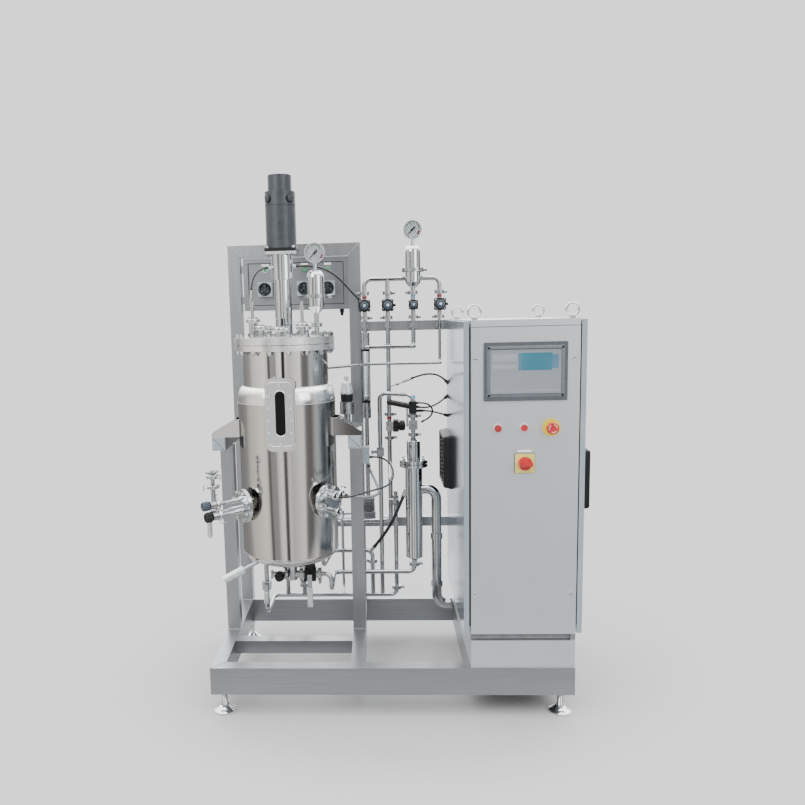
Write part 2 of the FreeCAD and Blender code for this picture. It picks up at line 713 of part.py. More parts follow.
# ---- pipework --------------------------------------------------------------------------------------
def clamp(place, axis, pipe_size, wing, outer=clamp_diameter):
    """A tri-clamp: a ring in two halves, closed by a bolt with a wing nut on the wing's side."""
    width = clamp_width
    start = place - axis * (width / 2)
    band = ring(start, axis, outer, pipe_size + 2 * fit, width)
    reach = outer / 2 - 4
    lug_box = rod(place + wing * reach, wing, 12, 16)
    across = axis.cross(wing)
    wings = rod(place + wing * (reach + 12) - across * 13, across, 7, 26)
    add("pipe_clamps", fused(band, lug_box, wings))


def gauge_and_filter(x, y, bottom, split, top):
    """A small filter housing with the dial gauge on its head."""
    radius = filter_diameter / 2
    bowl = turned([(0, bottom), (12, bottom), (radius, bottom + 22), (radius, split - 4),
                   (radius + 8, split - 1), (radius + 8, split), (0, split)], x, y)
    head = turned([(0, split), (radius + 8, split), (radius + 8, split + 1), (radius, split + 4),
                   (radius, top - 26), (14, top), (0, top)], x, y)
    stem = rod(Vector(x, y, top), Z, 14, gauge_drop - gauge_diameter / 2 + 3)
    add("process_housings", fused(bowl, head, stem))
    return top + gauge_drop


def gauge(index, x, y, height):
    """Dial case with a hollow front, and a pointer on its own spindle."""
    front = y - gauge_depth / 2
    radius = gauge_diameter / 2
    case = rod(Vector(x, front, height), Y, gauge_diameter, gauge_depth)
    case = case.cut(rod(Vector(x, front, height), Y, gauge_diameter - 8, 10))
    seat = rod(Vector(x, y, height - gauge_drop), Z, 14 + 2 * fit, gauge_drop - radius + 3)
    case = case.cut(seat)
    spindle_hole = rod(Vector(x, front + 10, height), Y, 3 + 2 * press, 6)
    add("gauge_cases", case.cut(spindle_hole))
    spindle = rod(Vector(x, front + 4, height), Y, 3, 12)
    hub = rod(Vector(x, front + 4, height), Y, 8, 3)
    needle = prism([Vector(x - 3, front + 5, height - 14), Vector(x + 3, front + 5, height - 14),
                    Vector(x + 0.8, front + 5, height + 28), Vector(x - 0.8, front + 5, height + 28)],
                   Vector(0, 1.5, 0))
    pointer = fused(spindle, hub, needle)
    pointer.rotate(Vector(x, front, height), Y, -pointer_rest)
    add("gauge_pointer_%d" % index, pointer)


def control_valve(x, y, z, facing, size=1.0, connector=None):
    """A diaphragm valve in a vertical pipe, with its air actuator towards facing."""
    half = valve_half
    block = 20 * size
    body = rod(Vector(x, y, z - half), Z, pipe_diameter, 2 * half)
    side = Vector(facing.y, -facing.x, 0)
    corners = [Vector(x, y, z - block) + side * block - facing * 14,
               Vector(x, y, z - block) - side * block - facing * 14,
               Vector(x, y, z - block) - side * block + facing * 16,
               Vector(x, y, z - block) + side * block + facing * 16]
    body = body.fuse(prism(corners, Vector(0, 0, 2 * block)))
    body = body.cut(rod(Vector(x, y, z - half), Z, pipe_diameter - 2 * pipe_wall, 2 * half))
    add("valve_bodies", body)
    seat = Vector(x, y, z) + facing * 16
    bonnet = rod(seat, facing, 50 * size, 22 * size)
    for i in range(4):
        angle = math.radians(45 + 90 * i)
        off = side * (23 * size * math.cos(angle)) + Z * (23 * size * math.sin(angle))
        bonnet = bonnet.fuse(rod(seat + off, facing, 17 * size, 22 * size))
    cap = rod(seat + facing * (22 * size), facing, 44 * size, 26 * size)
    actuator = [bonnet, cap]
    if connector:
        elbow = seat + facing * (10 * size)
        actuator.append(rod(elbow, connector, 11, 33 * size))
    if x == valve_column[0]:
        actuator.append(gland("valve_air_hose", "end", 12, 24))
    add("valve_actuators", fused(*actuator))


def saddle(x, z, back=None, height=20):
    """A pipe clip: a block between a vertical pipe and the rail behind it."""
    back = back or rear_post_front
    block = box(x - 14, pipe_y - 6, z - height / 2, x + 14, back, z + height / 2)
    add("pipe_clamps", block.cut(rod(Vector(x, pipe_y, z - height), Z, pipe_diameter + 2 * fit,
                                     2 * height)))


def manifold():
    """The air and steam manifold on the high rail: four valves, a filter and their pipes."""
    one, two, three, four = valve_column
    top = valve_height + valve_half
    bottom = valve_height - valve_half
    high = manifold_height
    bowl = filter_diameter / 2
    filter_x = three
    to_bowl = pipe([(one, pipe_y, top), (one, pipe_y, high), (filter_x - bowl + 1, pipe_y, high)])
    branch = ring(Vector(two, pipe_y, top), Z, pipe_diameter, pipe_diameter - 2 * pipe_wall, high - top)
    main_bore = rod(Vector(one + 60, pipe_y, high), X, pipe_diameter - 2 * pipe_wall, 80)
    housing = rod(Vector(filter_x, pipe_y, filter_bottom), Z, filter_diameter + 2 * press, filter_height)
    add("upper_pipes", fused(to_bowl, branch).cut(main_bore).cut(housing))
    from_bowl = pipe([(filter_x + bowl - 1, pipe_y, high), (four, pipe_y, high), (four, pipe_y, top)])
    add("upper_pipes", from_bowl.cut(housing))
    add("upper_pipes", pipe([(three, pipe_y, filter_bottom), (three, pipe_y, top)]))
    dial = gauge_and_filter(filter_x, pipe_y, filter_bottom, filter_split, filter_bottom + filter_height)
    gauge(1, filter_x, pipe_y, dial)
    clamp(Vector(filter_x, pipe_y, filter_split), Z, filter_diameter + 16, X, outer=filter_diameter + 28)
    front = Vector(0, -1, 0)
    for i, x in enumerate(valve_column):
        control_valve(x, pipe_y, valve_height, front, size=0.8 if i == 2 else 1.0,
                      connector=X if i in (1, 3) else None)
        wing = Vector(1 if i % 2 else -1, 0, 0)
        clamp(Vector(x, pipe_y, top), Z, pipe_diameter, wing, outer=40)
        clamp(Vector(x, pipe_y, bottom), Z, pipe_diameter, -wing, outer=40)
        saddle(x, high_rail_top - rear_rail_size / 2)


def rotameter():
    """A flow meter: end fittings, a glass tube and the float that rides in it."""
    x = valve_column[0]
    y = pipe_y
    low, high = rotameter_bottom, rotameter_top
    bore = pipe_diameter - 2 * pipe_wall
    for z0, z1, z2 in ((low, low + 43, low + 64), (high - 67, high - 46, high)):
        body = fused(rod(Vector(x, y, z0), Z, rotameter_nut_diameter, z1 - z0),
                     rod(Vector(x, y, z1), Z, rotameter_nut_diameter - 2, z2 - z1))
        add("valve_bodies", body.cut(rod(Vector(x, y, z0), Z, bore, z2 - z0)))
    tube_low, tube_high = low + 64, high - 67
    add("rotameter_tube", ring(Vector(x, y, tube_low), Z, rotameter_glass_diameter,
                               rotameter_glass_diameter - 5, tube_high - tube_low))
    rest = tube_low + 1
    add("rotameter_float", turned([(0, rest), (5, rest + 3), (11, rest + 22), (11, rest + 28),
                                   (0, rest + 28)], x, y))
    return tube_low, tube_high


def upper_runs():
    """Pipes from the valves down to the rotameter, the vessel and the heater."""
    one, _, three, four = valve_column
    bottom = valve_height - valve_half
    clear = pipe_y - crossing_offset
    add("upper_pipes", pipe([(one, pipe_y, rotameter_top), (one, pipe_y, bottom)]))
    entry = rotameter_top - 57
    inlet = pipe([(three, pipe_y, bottom), (three, pipe_y, entry), (three, clear, entry),
                  (one, clear, entry), (one, pipe_y - rotameter_nut_diameter / 2 + 1, entry)],
                 bend=pipe_diameter * 0.8)
    add("upper_pipes", inlet.cut(rod(Vector(one, pipe_y, entry - 60), Z,
                                     rotameter_nut_diameter + 2 * press, 120)))
    nozzle = at_vessel(135, shell_diameter / 2 - 4, steam_nozzle_height)
    slant = clear - nozzle.y
    feed = pipe([(four, pipe_y, bottom), (four, pipe_y, nozzle.z), (four, clear, nozzle.z),
                 (nozzle.x + slant, clear, nozzle.z), (nozzle.x, nozzle.y, nozzle.z)],
                thin_pipe_diameter, 1.0, bend=thin_pipe_diameter * 1.2)
    add("upper_pipes", feed.cut(vessel_envelope(press)))


def steam_line():
    """The second valve's line: the steam valve, the slanted thermometer and the insulated branch."""
    x = valve_column[1]
    top = valve_height - valve_half
    upper_clamp = steam_valve_height + valve_half
    lower_clamp = steam_valve_height - valve_half
    add("upper_pipes", pipe([(x, pipe_y, top), (x, pipe_y, upper_clamp)]))
    control_valve(x, pipe_y, steam_valve_height, X)
    for z in (upper_clamp, lower_clamp):
        clamp(Vector(x, pipe_y, z), Z, pipe_diameter, X, outer=40)
    skin = rod(Vector(x, pipe_y, upper_clamp), Z, pipe_diameter + 2 * press, top - upper_clamp)
    slope = Vector(0.93, -0.2, 0.32)
    root = Vector(x, pipe_y, thermowell_height)
    thermometer = fused(rod(root, slope, 6, 70), rod(root + slope * 32.2, slope, 14, 12),
                        gland("cabinet_cable_1", "start", 13, 38))
    add("valve_bodies", thermometer.cut(skin))
    start = Vector(x, pipe_y, insulated_height)
    way = Vector(heater_x, heater_y, insulated_height - 2) - start
    hose = rod(start, way, insulated_diameter, way.Length).cut(skin)
    add("valve_actuators", hose.cut(sensor_head()))


def sensor_head():
    """The block of the sensor head above the heater's hand valve."""
    top = branch_height - 1.5 * pipe_diameter
    return box(heater_x - 16, heater_y - 18, sensor_head_bottom, heater_x + 14, heater_y + 18, top)


def heater():
    """The flanged heater housing on its bracket, with the drain hose's socket."""
    x, y = heater_x, heater_y
    radius = heater_diameter / 2
    flange_radius = heater_flange_diameter / 2
    neck = 27
    neck_top = heater_valve_bottom - 12
    joint = heater_top + heater_flange
    body = turned([(0, heater_bottom - 22), (10, heater_bottom - 22), (10, heater_bottom - 16),
                   (radius, heater_bottom), (radius, heater_top), (flange_radius, heater_top),
                   (flange_radius, joint - 1), (radius, joint - 1), (radius, joint + 1),
                   (flange_radius, joint + 1), (flange_radius, joint + heater_flange),
                   (neck, joint + heater_flange), (neck, neck_top), (9, heater_valve_bottom),
                   (0, heater_valve_bottom)], x, y)
    add("process_housings", body.fuse(gland("drain_hose", "start", 17, 30)))
    for i in range(6):
        angle = math.radians(60 * i + 30)
        reach = (radius + flange_radius) / 2
        add("vessel_bolts", rod(Vector(x + reach * math.cos(angle), y + reach * math.sin(angle),
                                       joint + heater_flange), Z, 12, 8))
    support = box(x - 10, y + radius + press, low_rail_top - 30, x + 10, rear_post_front,
                  low_rail_top - 10)
    add("pipe_clamps", support)


def heater_valve():
    """The ball valve on the heater, its lever, and the sensor head above it."""
    x, y = heater_x, heater_y
    bottom = heater_valve_bottom
    middle = bottom + 55
    top = bottom + 90
    ball = fused(rod(Vector(x, y, bottom), Z, pipe_diameter, top - bottom),
                 box(x - 17, y - 17, middle - 19, x + 17, y + 17, middle + 19))
    ball = ball.cut(rod(Vector(x - 17, y, middle), X, 8 + 2 * press, 12))
    add("valve_bodies", ball)
    lever = fused(rod(Vector(x - 5.5, y, middle), -X, 8, 20),
                  box(x - 27, y - 8, middle - 8, x - 20, y + 8, middle + 62))
    add("heater_valve_lever", lever)
    clamp(Vector(x, y, bottom + 16), Z, pipe_diameter, X, outer=40)
    clamp(Vector(x, y, top), Z, pipe_diameter, X, outer=40)
    head = sensor_head().fuse([rod(Vector(x + 14, y - 2, sensor_head_bottom + 10), X, 11, 16),
                               gland("cabinet_cable_3", "start", 11, 12),
                               gland("cabinet_cable_2", "start", 11, 14),
                               gland("cabinet_cable_4", "start", 12, 14)])
    add("valve_actuators", head.cut(rod(Vector(x, y, top), Z, pipe_diameter + 2 * press, 120)))
    cross = pipe([(header_riser_x, header_y, header_height), (header_riser_x, header_y, branch_height),
                  (x, y, branch_height), (x, y, top)])
    header_skin = rod(Vector(header_riser_x - 60, header_y, header_height), X, pipe_diameter + 2 * press,
                      120)
    add("upper_pipes", cross.cut(header_skin))


def return_pipe():
    """The big return pipe from the heater down and into the cabinet's side, with its two sleeves."""
    start = heater_x + heater_diameter / 2 - 8
    y = heater_y
    size = return_pipe_diameter
    run = pipe([(start, y, return_start_height), (return_pipe_x, y, return_start_height),
                (return_pipe_x, y, return_end_height), (left_panel_outside - press, y, return_end_height)],
               size, 2.0, bend=size)
    sleeves = [ring(Vector(return_pipe_x, y, z), Z, size + 8, size - 4, 26) for z in (316, 516)]
    housing = rod(Vector(heater_x, y, 600), Z, heater_diameter + 2 * press, 200)
    add("lower_pipes", fused(run, *sleeves).cut(housing))


def lower_runs():
    """Condensate header, cooling runs, circulation pump and drains."""
    two = valve_column[1]
    envelope = vessel_envelope(press)
    riser = two + 20
    drain_x, drain_y = vessel_x - 112.5, vessel_y + 80
    drain_bottom = header_height + 66
    add("lower_pipes", pipe([(riser, header_y, cluster_height - 20), (riser, header_y, header_height),
                             (drain_x, header_y, header_height), (drain_x, drain_y, header_height),
                             (drain_x, drain_y, drain_bottom)]))
    clamp(Vector(riser, header_y, header_height + 34), Z, pipe_diameter, X, outer=40)
    skin = rod(Vector(drain_x + 40, header_y, header_height), X, pipe_diameter + 2 * press,
               riser - drain_x - 80)
    drain_valve(drain_x, drain_y, drain_bottom, envelope)
    turn_y = header_y + 30
    jacket_return = [(two, pipe_y, steam_valve_height - valve_half), (two, pipe_y, 800),
                     (two, turn_y, 740), (two, turn_y, jacket_return_height),
                     (vessel_x + 150, turn_y, jacket_return_height),
                     (vessel_x + 95, vessel_y + 95, jacket_return_height)]
    add("lower_pipes", pipe(jacket_return).cut(envelope))
    feed_x = drain_x + 420
    feeder = [(feed_x, header_y, header_height), (feed_x, header_y, jacket_feed_height),
              (vessel_x + 140, header_y, jacket_feed_height),
              (vessel_x + 115, vessel_y + 75, jacket_feed_height), (vessel_x + 115, vessel_y + 75, 560)]
    bore = swept(feeder, pipe_diameter - 2 * pipe_wall, 1.5 * pipe_diameter)[0]
    barb = gland("drain_hose", "end", 15, 38).cut(bore)
    add("lower_pipes", fused(pipe(feeder), barb).cut(envelope).cut(skin))
    clamp(Vector(feed_x, header_y, 400), Z, pipe_diameter, -X, outer=40)
    small_valves(riser)
    header_branches(skin)
    pump_runs(envelope, skin)


def drain_valve(x, y, bottom, envelope):
    """The jacket's drain with its ball valve and the lever that hangs from it."""
    middle = bottom + 51
    bore = rod(Vector(x, y, bottom), Z, pipe_diameter - 2 * pipe_wall, 260)
    drain = rod(Vector(x, y, bottom), Z, pipe_diameter, 260).cut(envelope)
    block = box(x - 17, y - 16, middle - 17, x + 17, y + 16, middle + 17)
    drain = drain.fuse(block).cut(bore)
    add("valve_bodies", drain.cut(rod(Vector(x, y - 16, middle), Y, 8 + 2 * press, 6)))
    lever = fused(rod(Vector(x, y - 11, middle), -Y, 8, 18),
                  box(x - 8, y - 28, middle - 69, x + 8, y - 22, middle + 8))
    add("drain_valve_lever", lever)


def small_valves(riser):
    """The little valve and elbow cluster above the header riser, and the vent valve beside it."""
    y, z = header_y, cluster_height
    body = fused(rod(Vector(riser, y, z - 20), Z, 24, 40),
                 rod(Vector(riser, y, z), -Y, 16, 26),
                 rod(Vector(riser, y - 26, z), -Y, 26, 12),
                 rod(Vector(riser, y, z), -X, 14, 28),
                 rod(Vector(riser, y, z + 20), Z, 16, 18))
    jacket_return = rod(Vector(riser - 20, y + 30, z - 90), Z, pipe_diameter + 2 * press, 200)
    add("valve_bodies", body.cut(jacket_return))
    x, z = header_riser_x, vent_height
    vent = fused(box(x - 15, y - 15, z - 18, x + 15, y + 15, z + 18),
                 rod(Vector(x, y - 15, z), -Y, 24, 12), rod(Vector(x - 15, y, z), -X, 20, 14),
                 rod(Vector(x - 29, y, z), -X, 26, 9))
    add("valve_bodies", vent.cut(rod(Vector(x, y, z - 60), Z, pipe_diameter + 2 * press, 120)))


def header_branches(skin):
    """Trap branches on the condensate header, each with a small diaphragm valve and a capped end."""
    half = branch_block / 2
    for offset, middle in branch_valves:
        x, y = vessel_x + offset, header_y
        length = middle + 62 - header_height
        stem = rod(Vector(x, y, header_height), Z, pipe_diameter, length)
        block = box(x - half, y - half, middle - half, x + half, y + half, middle + half)
        bore = rod(Vector(x, y, header_height), Z, pipe_diameter - 2 * pipe_wall, length - 6)
        add("valve_bodies", stem.fuse(block).cut(skin).cut(bore))
        front = Vector(x, y - half, middle)
        add("valve_actuators", fused(rod(front, -Y, 36, 16), rod(front - Y * 16, -Y, 28, 14)))
        clamp(Vector(x, y, middle - 40), Z, pipe_diameter, X, outer=40)
        clamp(Vector(x, y, middle + 40), Z, pipe_diameter, -X, outer=40)


def pump_runs(envelope, skin):
    """The circulation pump on the low rail, its line to the rotameter and its suction line."""
    one = valve_column[0]
    floor = low_rail_top
    plate = box(mid_post_left + post_size + 1, pipe_y - 36, floor, one + 44,
                rear_post_front + rear_rail_size, floor + 7)
    body = turned([(0, floor + 7), (31, floor + 7), (31, floor + 40), (24, floor + 44), (24, floor + 78),
                   (28, floor + 82), (28, floor + 100), (9, floor + 106), (0, floor + 106)], one, pipe_y)
    add("circulation_pump", plate, body)
    add("lower_pipes", pipe([(one, pipe_y, floor + 106), (one, pipe_y, rotameter_bottom)]))
    suction_x = vessel_x + 180
    suction = pipe([(one - 29, pipe_y, floor + 30), (suction_x, pipe_y, floor + 30),
                    (suction_x, pipe_y, header_height), (suction_x, header_y, header_height)],
                   thin_pipe_diameter, 1.0)
    pump_skin = rod(Vector(one, pipe_y, floor), Z, 62 + 2 * press, 60)
    add("lower_pipes", suction.cut(pump_skin).cut(skin))
    stub = pipe([(suction_x, pipe_y - 5.9, floor + 30), (suction_x, vessel_y + 160, floor + 50),
                 (vessel_x + 80, vessel_y + 60, floor + 50)], thin_pipe_diameter, 1.0)
    add("lower_pipes", stub.cut(envelope).cut(rod(Vector(suction_x, pipe_y, floor - 40), Z,
                                                   thin_pipe_diameter + 2 * press, 60)))


def junction_box():
    """The small sensor junction box on the middle front post."""
    side = mid_post_left + post_size
    body = box(side + press, front_post_back + 6, junction_bottom, side + 26, front_post_back + 44,
               junction_bottom + 64)
    add("valve_actuators", fused(body, gland("port_hose", "end", 15, 20), gland("port_cable", "end", 11, 10)))


def bottom_outlet():
    """The outlet below the vessel, its harvest valve and the line on to the heater."""
    x, y, z = vessel_x, vessel_y, outlet_height
    sample = x - 46
    elbow = fused(rod(Vector(x, y, z - 20), Z, outlet_diameter - 2 * fit, 40 - press),
                  rod(Vector(x, y, z), X, 30, 34), rod(Vector(x, y, z), -X, 22, 74),
                  box(sample - 16, y - 16, z - 16, sample + 16, y + 16, z + 16),
                  rod(Vector(sample - 28, y, z), -X, 34, 7))
    add("valve_bodies", elbow)
    bonnet = fused(rod(Vector(sample, y - 16, z), -Y, 38, 16), rod(Vector(sample, y - 32, z), -Y, 30, 14))
    add("valve_actuators", bonnet)
    valve_x = x + 70
    end = x + 106
    body = fused(rod(Vector(x + 34, y, z), X, 30, end - x - 34),
                 box(valve_x - 22, y - 22, z - 22, valve_x + 22, y + 22, z + 22))
    body = body.cut(rod(Vector(valve_x, y - 22, z), Y, 10 + 2 * press, 14))
    add("valve_bodies", body)
    lever = fused(rod(Vector(valve_x, y - 10.5, z), -Y, 10, 24),
                  box(valve_x - 9, y - 40, z - 118, valve_x + 9, y - 33, z + 10))
    add("harvest_valve_lever", lever)
    add("valve_actuators", rod(Vector(valve_x, y, z + 22), Z, 40, 20))
    clamp(Vector(x + 36, y, z), X, 30, -Z)
    clamp(Vector(end, y, z), X, 30, -Z)
    turn_x = x + 150
    low = heater_feed_height
    add("lower_pipes", pipe([(end, y, z), (turn_x, y, z), (turn_x, y, low), (turn_x, heater_y, low),
                             (heater_x, heater_y, low), (heater_x, heater_y, heater_bottom - 22)]))
    clamp(Vector(heater_x, heater_y, heater_bottom - 30), Z, pipe_diameter, X, outer=44)


def lid_filter():
    x = vessel_x + lid_filter_reach
    y = vessel_y
    split = lid_filter_bottom + 60
    neck = rod(Vector(x, y, lid_top), Z, pipe_diameter, lid_filter_bottom - lid_top)
    add("vessel_fittings", neck)
    dial = gauge_and_filter(x, y, lid_filter_bottom, split, lid_filter_bottom + lid_filter_height)
    gauge(2, x, y, dial)
    clamp(Vector(x, y, split), Z, filter_diameter + 16, X, outer=filter_diameter + 28)
    clamp(Vector(x, y, lid_top + 40), Z, pipe_diameter, Vector(0, -1, 0), outer=40)


def left_cluster():
    """Sample and inoculation fittings on the left port, with their knobs and the hanging lever."""
    way = outward(-port_angle)
    side = Vector(-way.y, way.x, 0)
    start = at_vessel(-port_angle, port_reach + 62, left_port_height)
    upper = start + Z * 24
    crossing = upper + way * 47 + Z * 118
    arm = fused(rod(upper, way, 14, 30), rod(upper + way * 30, way, 30, 34),
                rod(upper + way * 47, Z, 16, 60), rod(upper + way * 47 + Z * 60, Z, 34, 12),
                rod(upper + way * 47 + Z * 72, Z, 14, 40), rod(upper + way * 47 + Z * 96, Z, 34, 12),
                rod(upper + way * 47 + Z * 108, Z, 16, 18), rod(crossing - way * 23, way, 9, 46),
                rod(crossing - side * 23, side, 9, 46))
    arm = arm.cut(rod(upper + way * 64, way * -1, 8 + 2 * press, 12))
    add("valve_bodies", arm)
    knob = fused(rod(upper + way * 53, way, 8, 20), rod(upper + way * 66, way, 34, 26))
    add("inoculation_valve_knob", knob)
    lower = at_vessel(-port_angle, port_reach + 62, left_port_height) + Z * -12 + side * 20.78
    body = fused(rod(lower, way, 14, 34), rod(lower + way * 34, way, 28, 30))
    body = body.cut(rod(lower + way * 64, way * -1, 8 + 2 * press, 12))
    add("valve_bodies", body)
    knob = fused(rod(lower + way * 53, way, 8, 22), rod(lower + way * 68, way, 36, 24))
    add("sample_valve_knob", knob)
    handle_root = at_vessel(-port_angle, port_reach + 62, left_port_height) + Z * -12 - side * 20.78
    body = fused(rod(handle_root, way, 14, 24), rod(handle_root + way * 24, way, 26, 24))
    body = body.cut(rod(handle_root + way * 48, way * -1, 8 + 2 * press, 12))
    add("valve_bodies", body)
    grip_start = handle_root + way * 56
    lever = fused(rod(handle_root + way * 37, way, 8, 26), rod(grip_start + Z * 10, Vector(0, 0, -1), 14, 96))
    add("steam_valve_lever", lever)


def sampling_arm():
    """The slanted sampling tube under the vessel with its cylindrical hand grip."""
    start = Vector(vessel_x - 72.5, vessel_y - 100, jacket_bottom - 7)
    end = Vector(vessel_x - 232.5, vessel_y - 155, jacket_bottom - 78)
    grip = 80
    way = end - start
    length = way.Length
    way.normalize()
    thin = rod(start - way * 60, way, 14, length + 60 - grip)
    thick = rod(start + way * (length - grip), way, 30, grip)
    add("valve_bodies", fused(thin, thick).cut(vessel_envelope(press)))


def regulator():
    """The pressure regulator that stands on the rear end of the right beam."""
    x, y = mid_post_left - 12, beam_back - 38
    z = beam_top
    body = turned([(0, z), (30, z), (30, z + 6), (14, z + 8), (14, z + 40), (29, z + 44), (29, z + 92),
                   (24, z + 96), (26, z + 130), (18, z + 168), (9, z + 176), (9, z + 196), (0, z + 196)],
                  x, y)
    add("circulation_pump", body)


# ---- pump box --------------------------------------------------------------------------------------
def dosing_pump(number, x, face):
    """A pump head with its rotor of three rollers, and the green button above it."""
    button = fused(rod(Vector(x, face - 8, green_button_height), Y, green_button_diameter - 6, 5),
                   rod(Vector(x, face - 4, green_button_height), Y, 12, 16))
    add("green_button_%d" % number, button)
    bezel = ring(Vector(x, face - 3.5, green_button_height), Y, green_button_diameter,
                 green_button_diameter - 6 + 2 * fit, 3.5)
    half = pump_head_size / 2
    head_front = face - pump_head_depth
    head = box(x - half, head_front, pump_height - half, x + half, face, pump_height + half)
    bore = rod(Vector(x, head_front, pump_height), Y, rotor_diameter + 4, rotor_length + 2)
    axle_hole = rod(Vector(x, face - 12, pump_height), Y, 10 + 2 * press, 9)
    add("pump_box", bezel, head.cut(bore).cut(axle_hole))
    pieces = [rod(Vector(x, head_front + 1, pump_height), Y, 12, rotor_length),
              rod(Vector(x, head_front + 12, pump_height), Y, 30, 6),
              rod(Vector(x, face - 12, pump_height), Y, 10, 8)]
    for k in range(3):
        angle = math.radians(90 + 120 * k)
        place = Vector(x + 14 * math.cos(angle), head_front + 1, pump_height + 14 * math.sin(angle))
        pieces.append(rod(place, Y, 13, rotor_length - 2))
    add("pump_rotor_%d" % number, fused(*pieces))


def pump_box():
    """A box of plain sheets with a folded border, which hangs between the rear posts."""
    left = -half_base + post_size + pump_box_gap
    right = mid_post_left
    front = rear_post_front + pump_box_set_back
    back = front + pump_box_depth
    low = pump_box_bottom
    top = upper_beam_top - post_size - pump_box_top_gap
    face = front + pump_box_recess
    wall = pump_box_wall
    inside = face + wall
    edge = pump_box_edge
    borders = [box(left, front, low, right, face, low + edge),
               box(left, front, top - edge, right, face, top),
               box(left, front, low + edge, left + edge, face, top - edge),
               box(right - edge, front, low + edge, right, face, top - edge)]
    walls = [box(left, inside, low, left + wall, back, top),
             box(right - wall, inside, low, right, back, top),
             box(left + wall, inside, low, right - wall, back, low + wall),
             box(left + wall, inside, top - wall, right - wall, back, top),
             box(left + wall, back - wall, low + wall, right - wall, back, top - wall)]
    add("pump_box", *borders, *walls)
    panel = box(left, face, low, right, inside, top)
    for x in pump_places:
        panel = panel.cut(rod(Vector(x, face, green_button_height), Y, 12 + 2 * press, wall))
    add("pump_box", panel)
    for i, x in enumerate(pump_places):
        dosing_pump(i + 1, x, face)
    gland = fused(rod(Vector(right - 32, front + 30, low - 16), Z, 18, 16),
                  rod(Vector(right - 32, front + 30, low - 28), Z, 13, 12))
    hanger_left = box(left - pump_box_gap, front + 5, low + 30, left, front + 35, low + 60)
    hanger_right = box(left - pump_box_gap, front + 5, top - 60, left, front + 35, top - 30)
    add("pump_box", gland, hanger_left, hanger_right)


# ---- cabinet ---------------------------------------------------------------------------------------
def cabinet():
    """The body of sheets with folded lips around the door, and the plinth, open below for cables."""
    left, right = cabinet_left, cabinet_right
    low, high = cabinet_bottom, cabinet_top
    back = cabinet_back
    front = door_back + door_swing_gap
    lip_back = front + sheet
    walls = [box(left, lip_back, low, left + sheet, back, high),
             box(right - sheet, lip_back, low, right, back, high),
             box(left + sheet, back - sheet, low, right - sheet, back, high),
             box(left + sheet, lip_back, low, right - sheet, back - sheet, low + sheet),
             box(left + sheet, lip_back, high - sheet, right - sheet, back - sheet, high)]
    sill = low + floor_band + 20
    head = high - roof_band - 20
    lips = [box(left, front, sill, left + door_lip, lip_back, head),
            box(right - 22, front, sill, right, lip_back, head),
            box(left, front, low, right, lip_back, sill),
            box(left, front, head, right, lip_back, high)]
    hinge = Vector(right - hinge_inset, cabinet_front + hinge_inset, low)
    hinge_block = box(right - 16, cabinet_front + 1, low, right, front, low + floor_band - door_gap)
    hinge_block = hinge_block.cut(rod(hinge, Z, hinge_pin + 2 * press, floor_band))
    roof_low = high - roof_band
    roof = box(left, cabinet_front, roof_low, right, front, high)
    roof = roof.cut(rod(Vector(hinge.x, hinge.y, roof_low), Z, hinge_pin + 2 * press, 8))
    add("cabinet_shell", *walls, *lips, hinge_block, roof)
    plinth_front = cabinet_front
    add("cabinet_shell",
        box(left, plinth_front, deck, left + sheet, back, low),
        box(right - sheet, plinth_front, deck, right, back, low),
        box(left + sheet, plinth_front, deck, right - sheet, plinth_front + sheet, low),
        box(left + sheet, back - sheet, deck, right - sheet, back, low),
        box(left + sheet, plinth_front + sheet, low - sheet, right - sheet, back - sheet, low))
    for x in (left + 16, right - 20):
        for y in (cabinet_front + 35, back - 45):
            middle = high + eye_diameter / 2 + 4
            eye = Part.makeTorus((eye_diameter - eye_bar) / 2, eye_bar / 2, Vector(x, y, middle), Y)
            shank = rod(Vector(x, y, high), Z, 20, 6).fuse(rod(Vector(x, y, high + 5), Z, 10, 4))
            add("lifting_eyes", eye.fuse(shank))


def side_covers():
    """The cabinet's side panels on their seals, each with a fan filter."""
    low = cabinet_bottom + floor_band
    high = cabinet_top - 4
    sides = ((left_panel_outside, 1, left_fan_front), (right_panel_outside, -1, right_fan_front))
    for outside, way, fan_front in sides:
        inside = outside + way * side_panel_thickness
        cover = box(min(outside, inside), cabinet_front + 8, low, max(outside, inside), cabinet_back, high)
        seal_x = min(inside, inside + way * side_panel_gap)
        seal = box(seal_x, door_back + 10, low + 20, seal_x + side_panel_gap, cabinet_back - 10, high - 20)
        add("side_panels", cover, seal)
        if way > 0:
            glands = [gland("cabinet_cable_%d" % i, "end", 14, 22).cut(cover) for i in (1, 2, 3)]
            add("side_panels", *glands)
        fan_x = outside - fan_depth if way > 0 else outside
        middle = fan_middle
        fan = box(fan_x, fan_front, middle - fan_size / 2, fan_x + fan_depth, fan_front + fan_size,
                  middle + fan_size / 2)
        edges = [e for e in fan.Edges if abs(e.tangentAt(e.FirstParameter).x) > 0.9]
        add("fan_filters", fan.makeFillet(6, edges))


def control_gear():
    """The mounting plate on four pillars, with four plain modules on it."""
    left, right = cabinet_left, cabinet_right
    low, high = cabinet_bottom, cabinet_top
    face = cabinet_back - 40
    plate = box(left + 30, face, low + 60, right - 30, face + 3, high - 80)
    pillars = [rod(Vector(x, face + 3, z), Y, 12, 37 - sheet)
               for x in (left + 50, right - 50) for z in (low + 90, high - 110)]
    modules = [box(left + 60, face - 90, high - 260, left + 300, face, high - 130),
               box(left + 60, face - 70, high - 460, left + 300, face, high - 340),
               box(left + 60, face - 150, low + 180, left + 160, face, low + 420),
               box(left + 190, face - 150, low + 180, left + 290, face, low + 420)]
    add("mounting_plate", plate, *pillars, *modules)


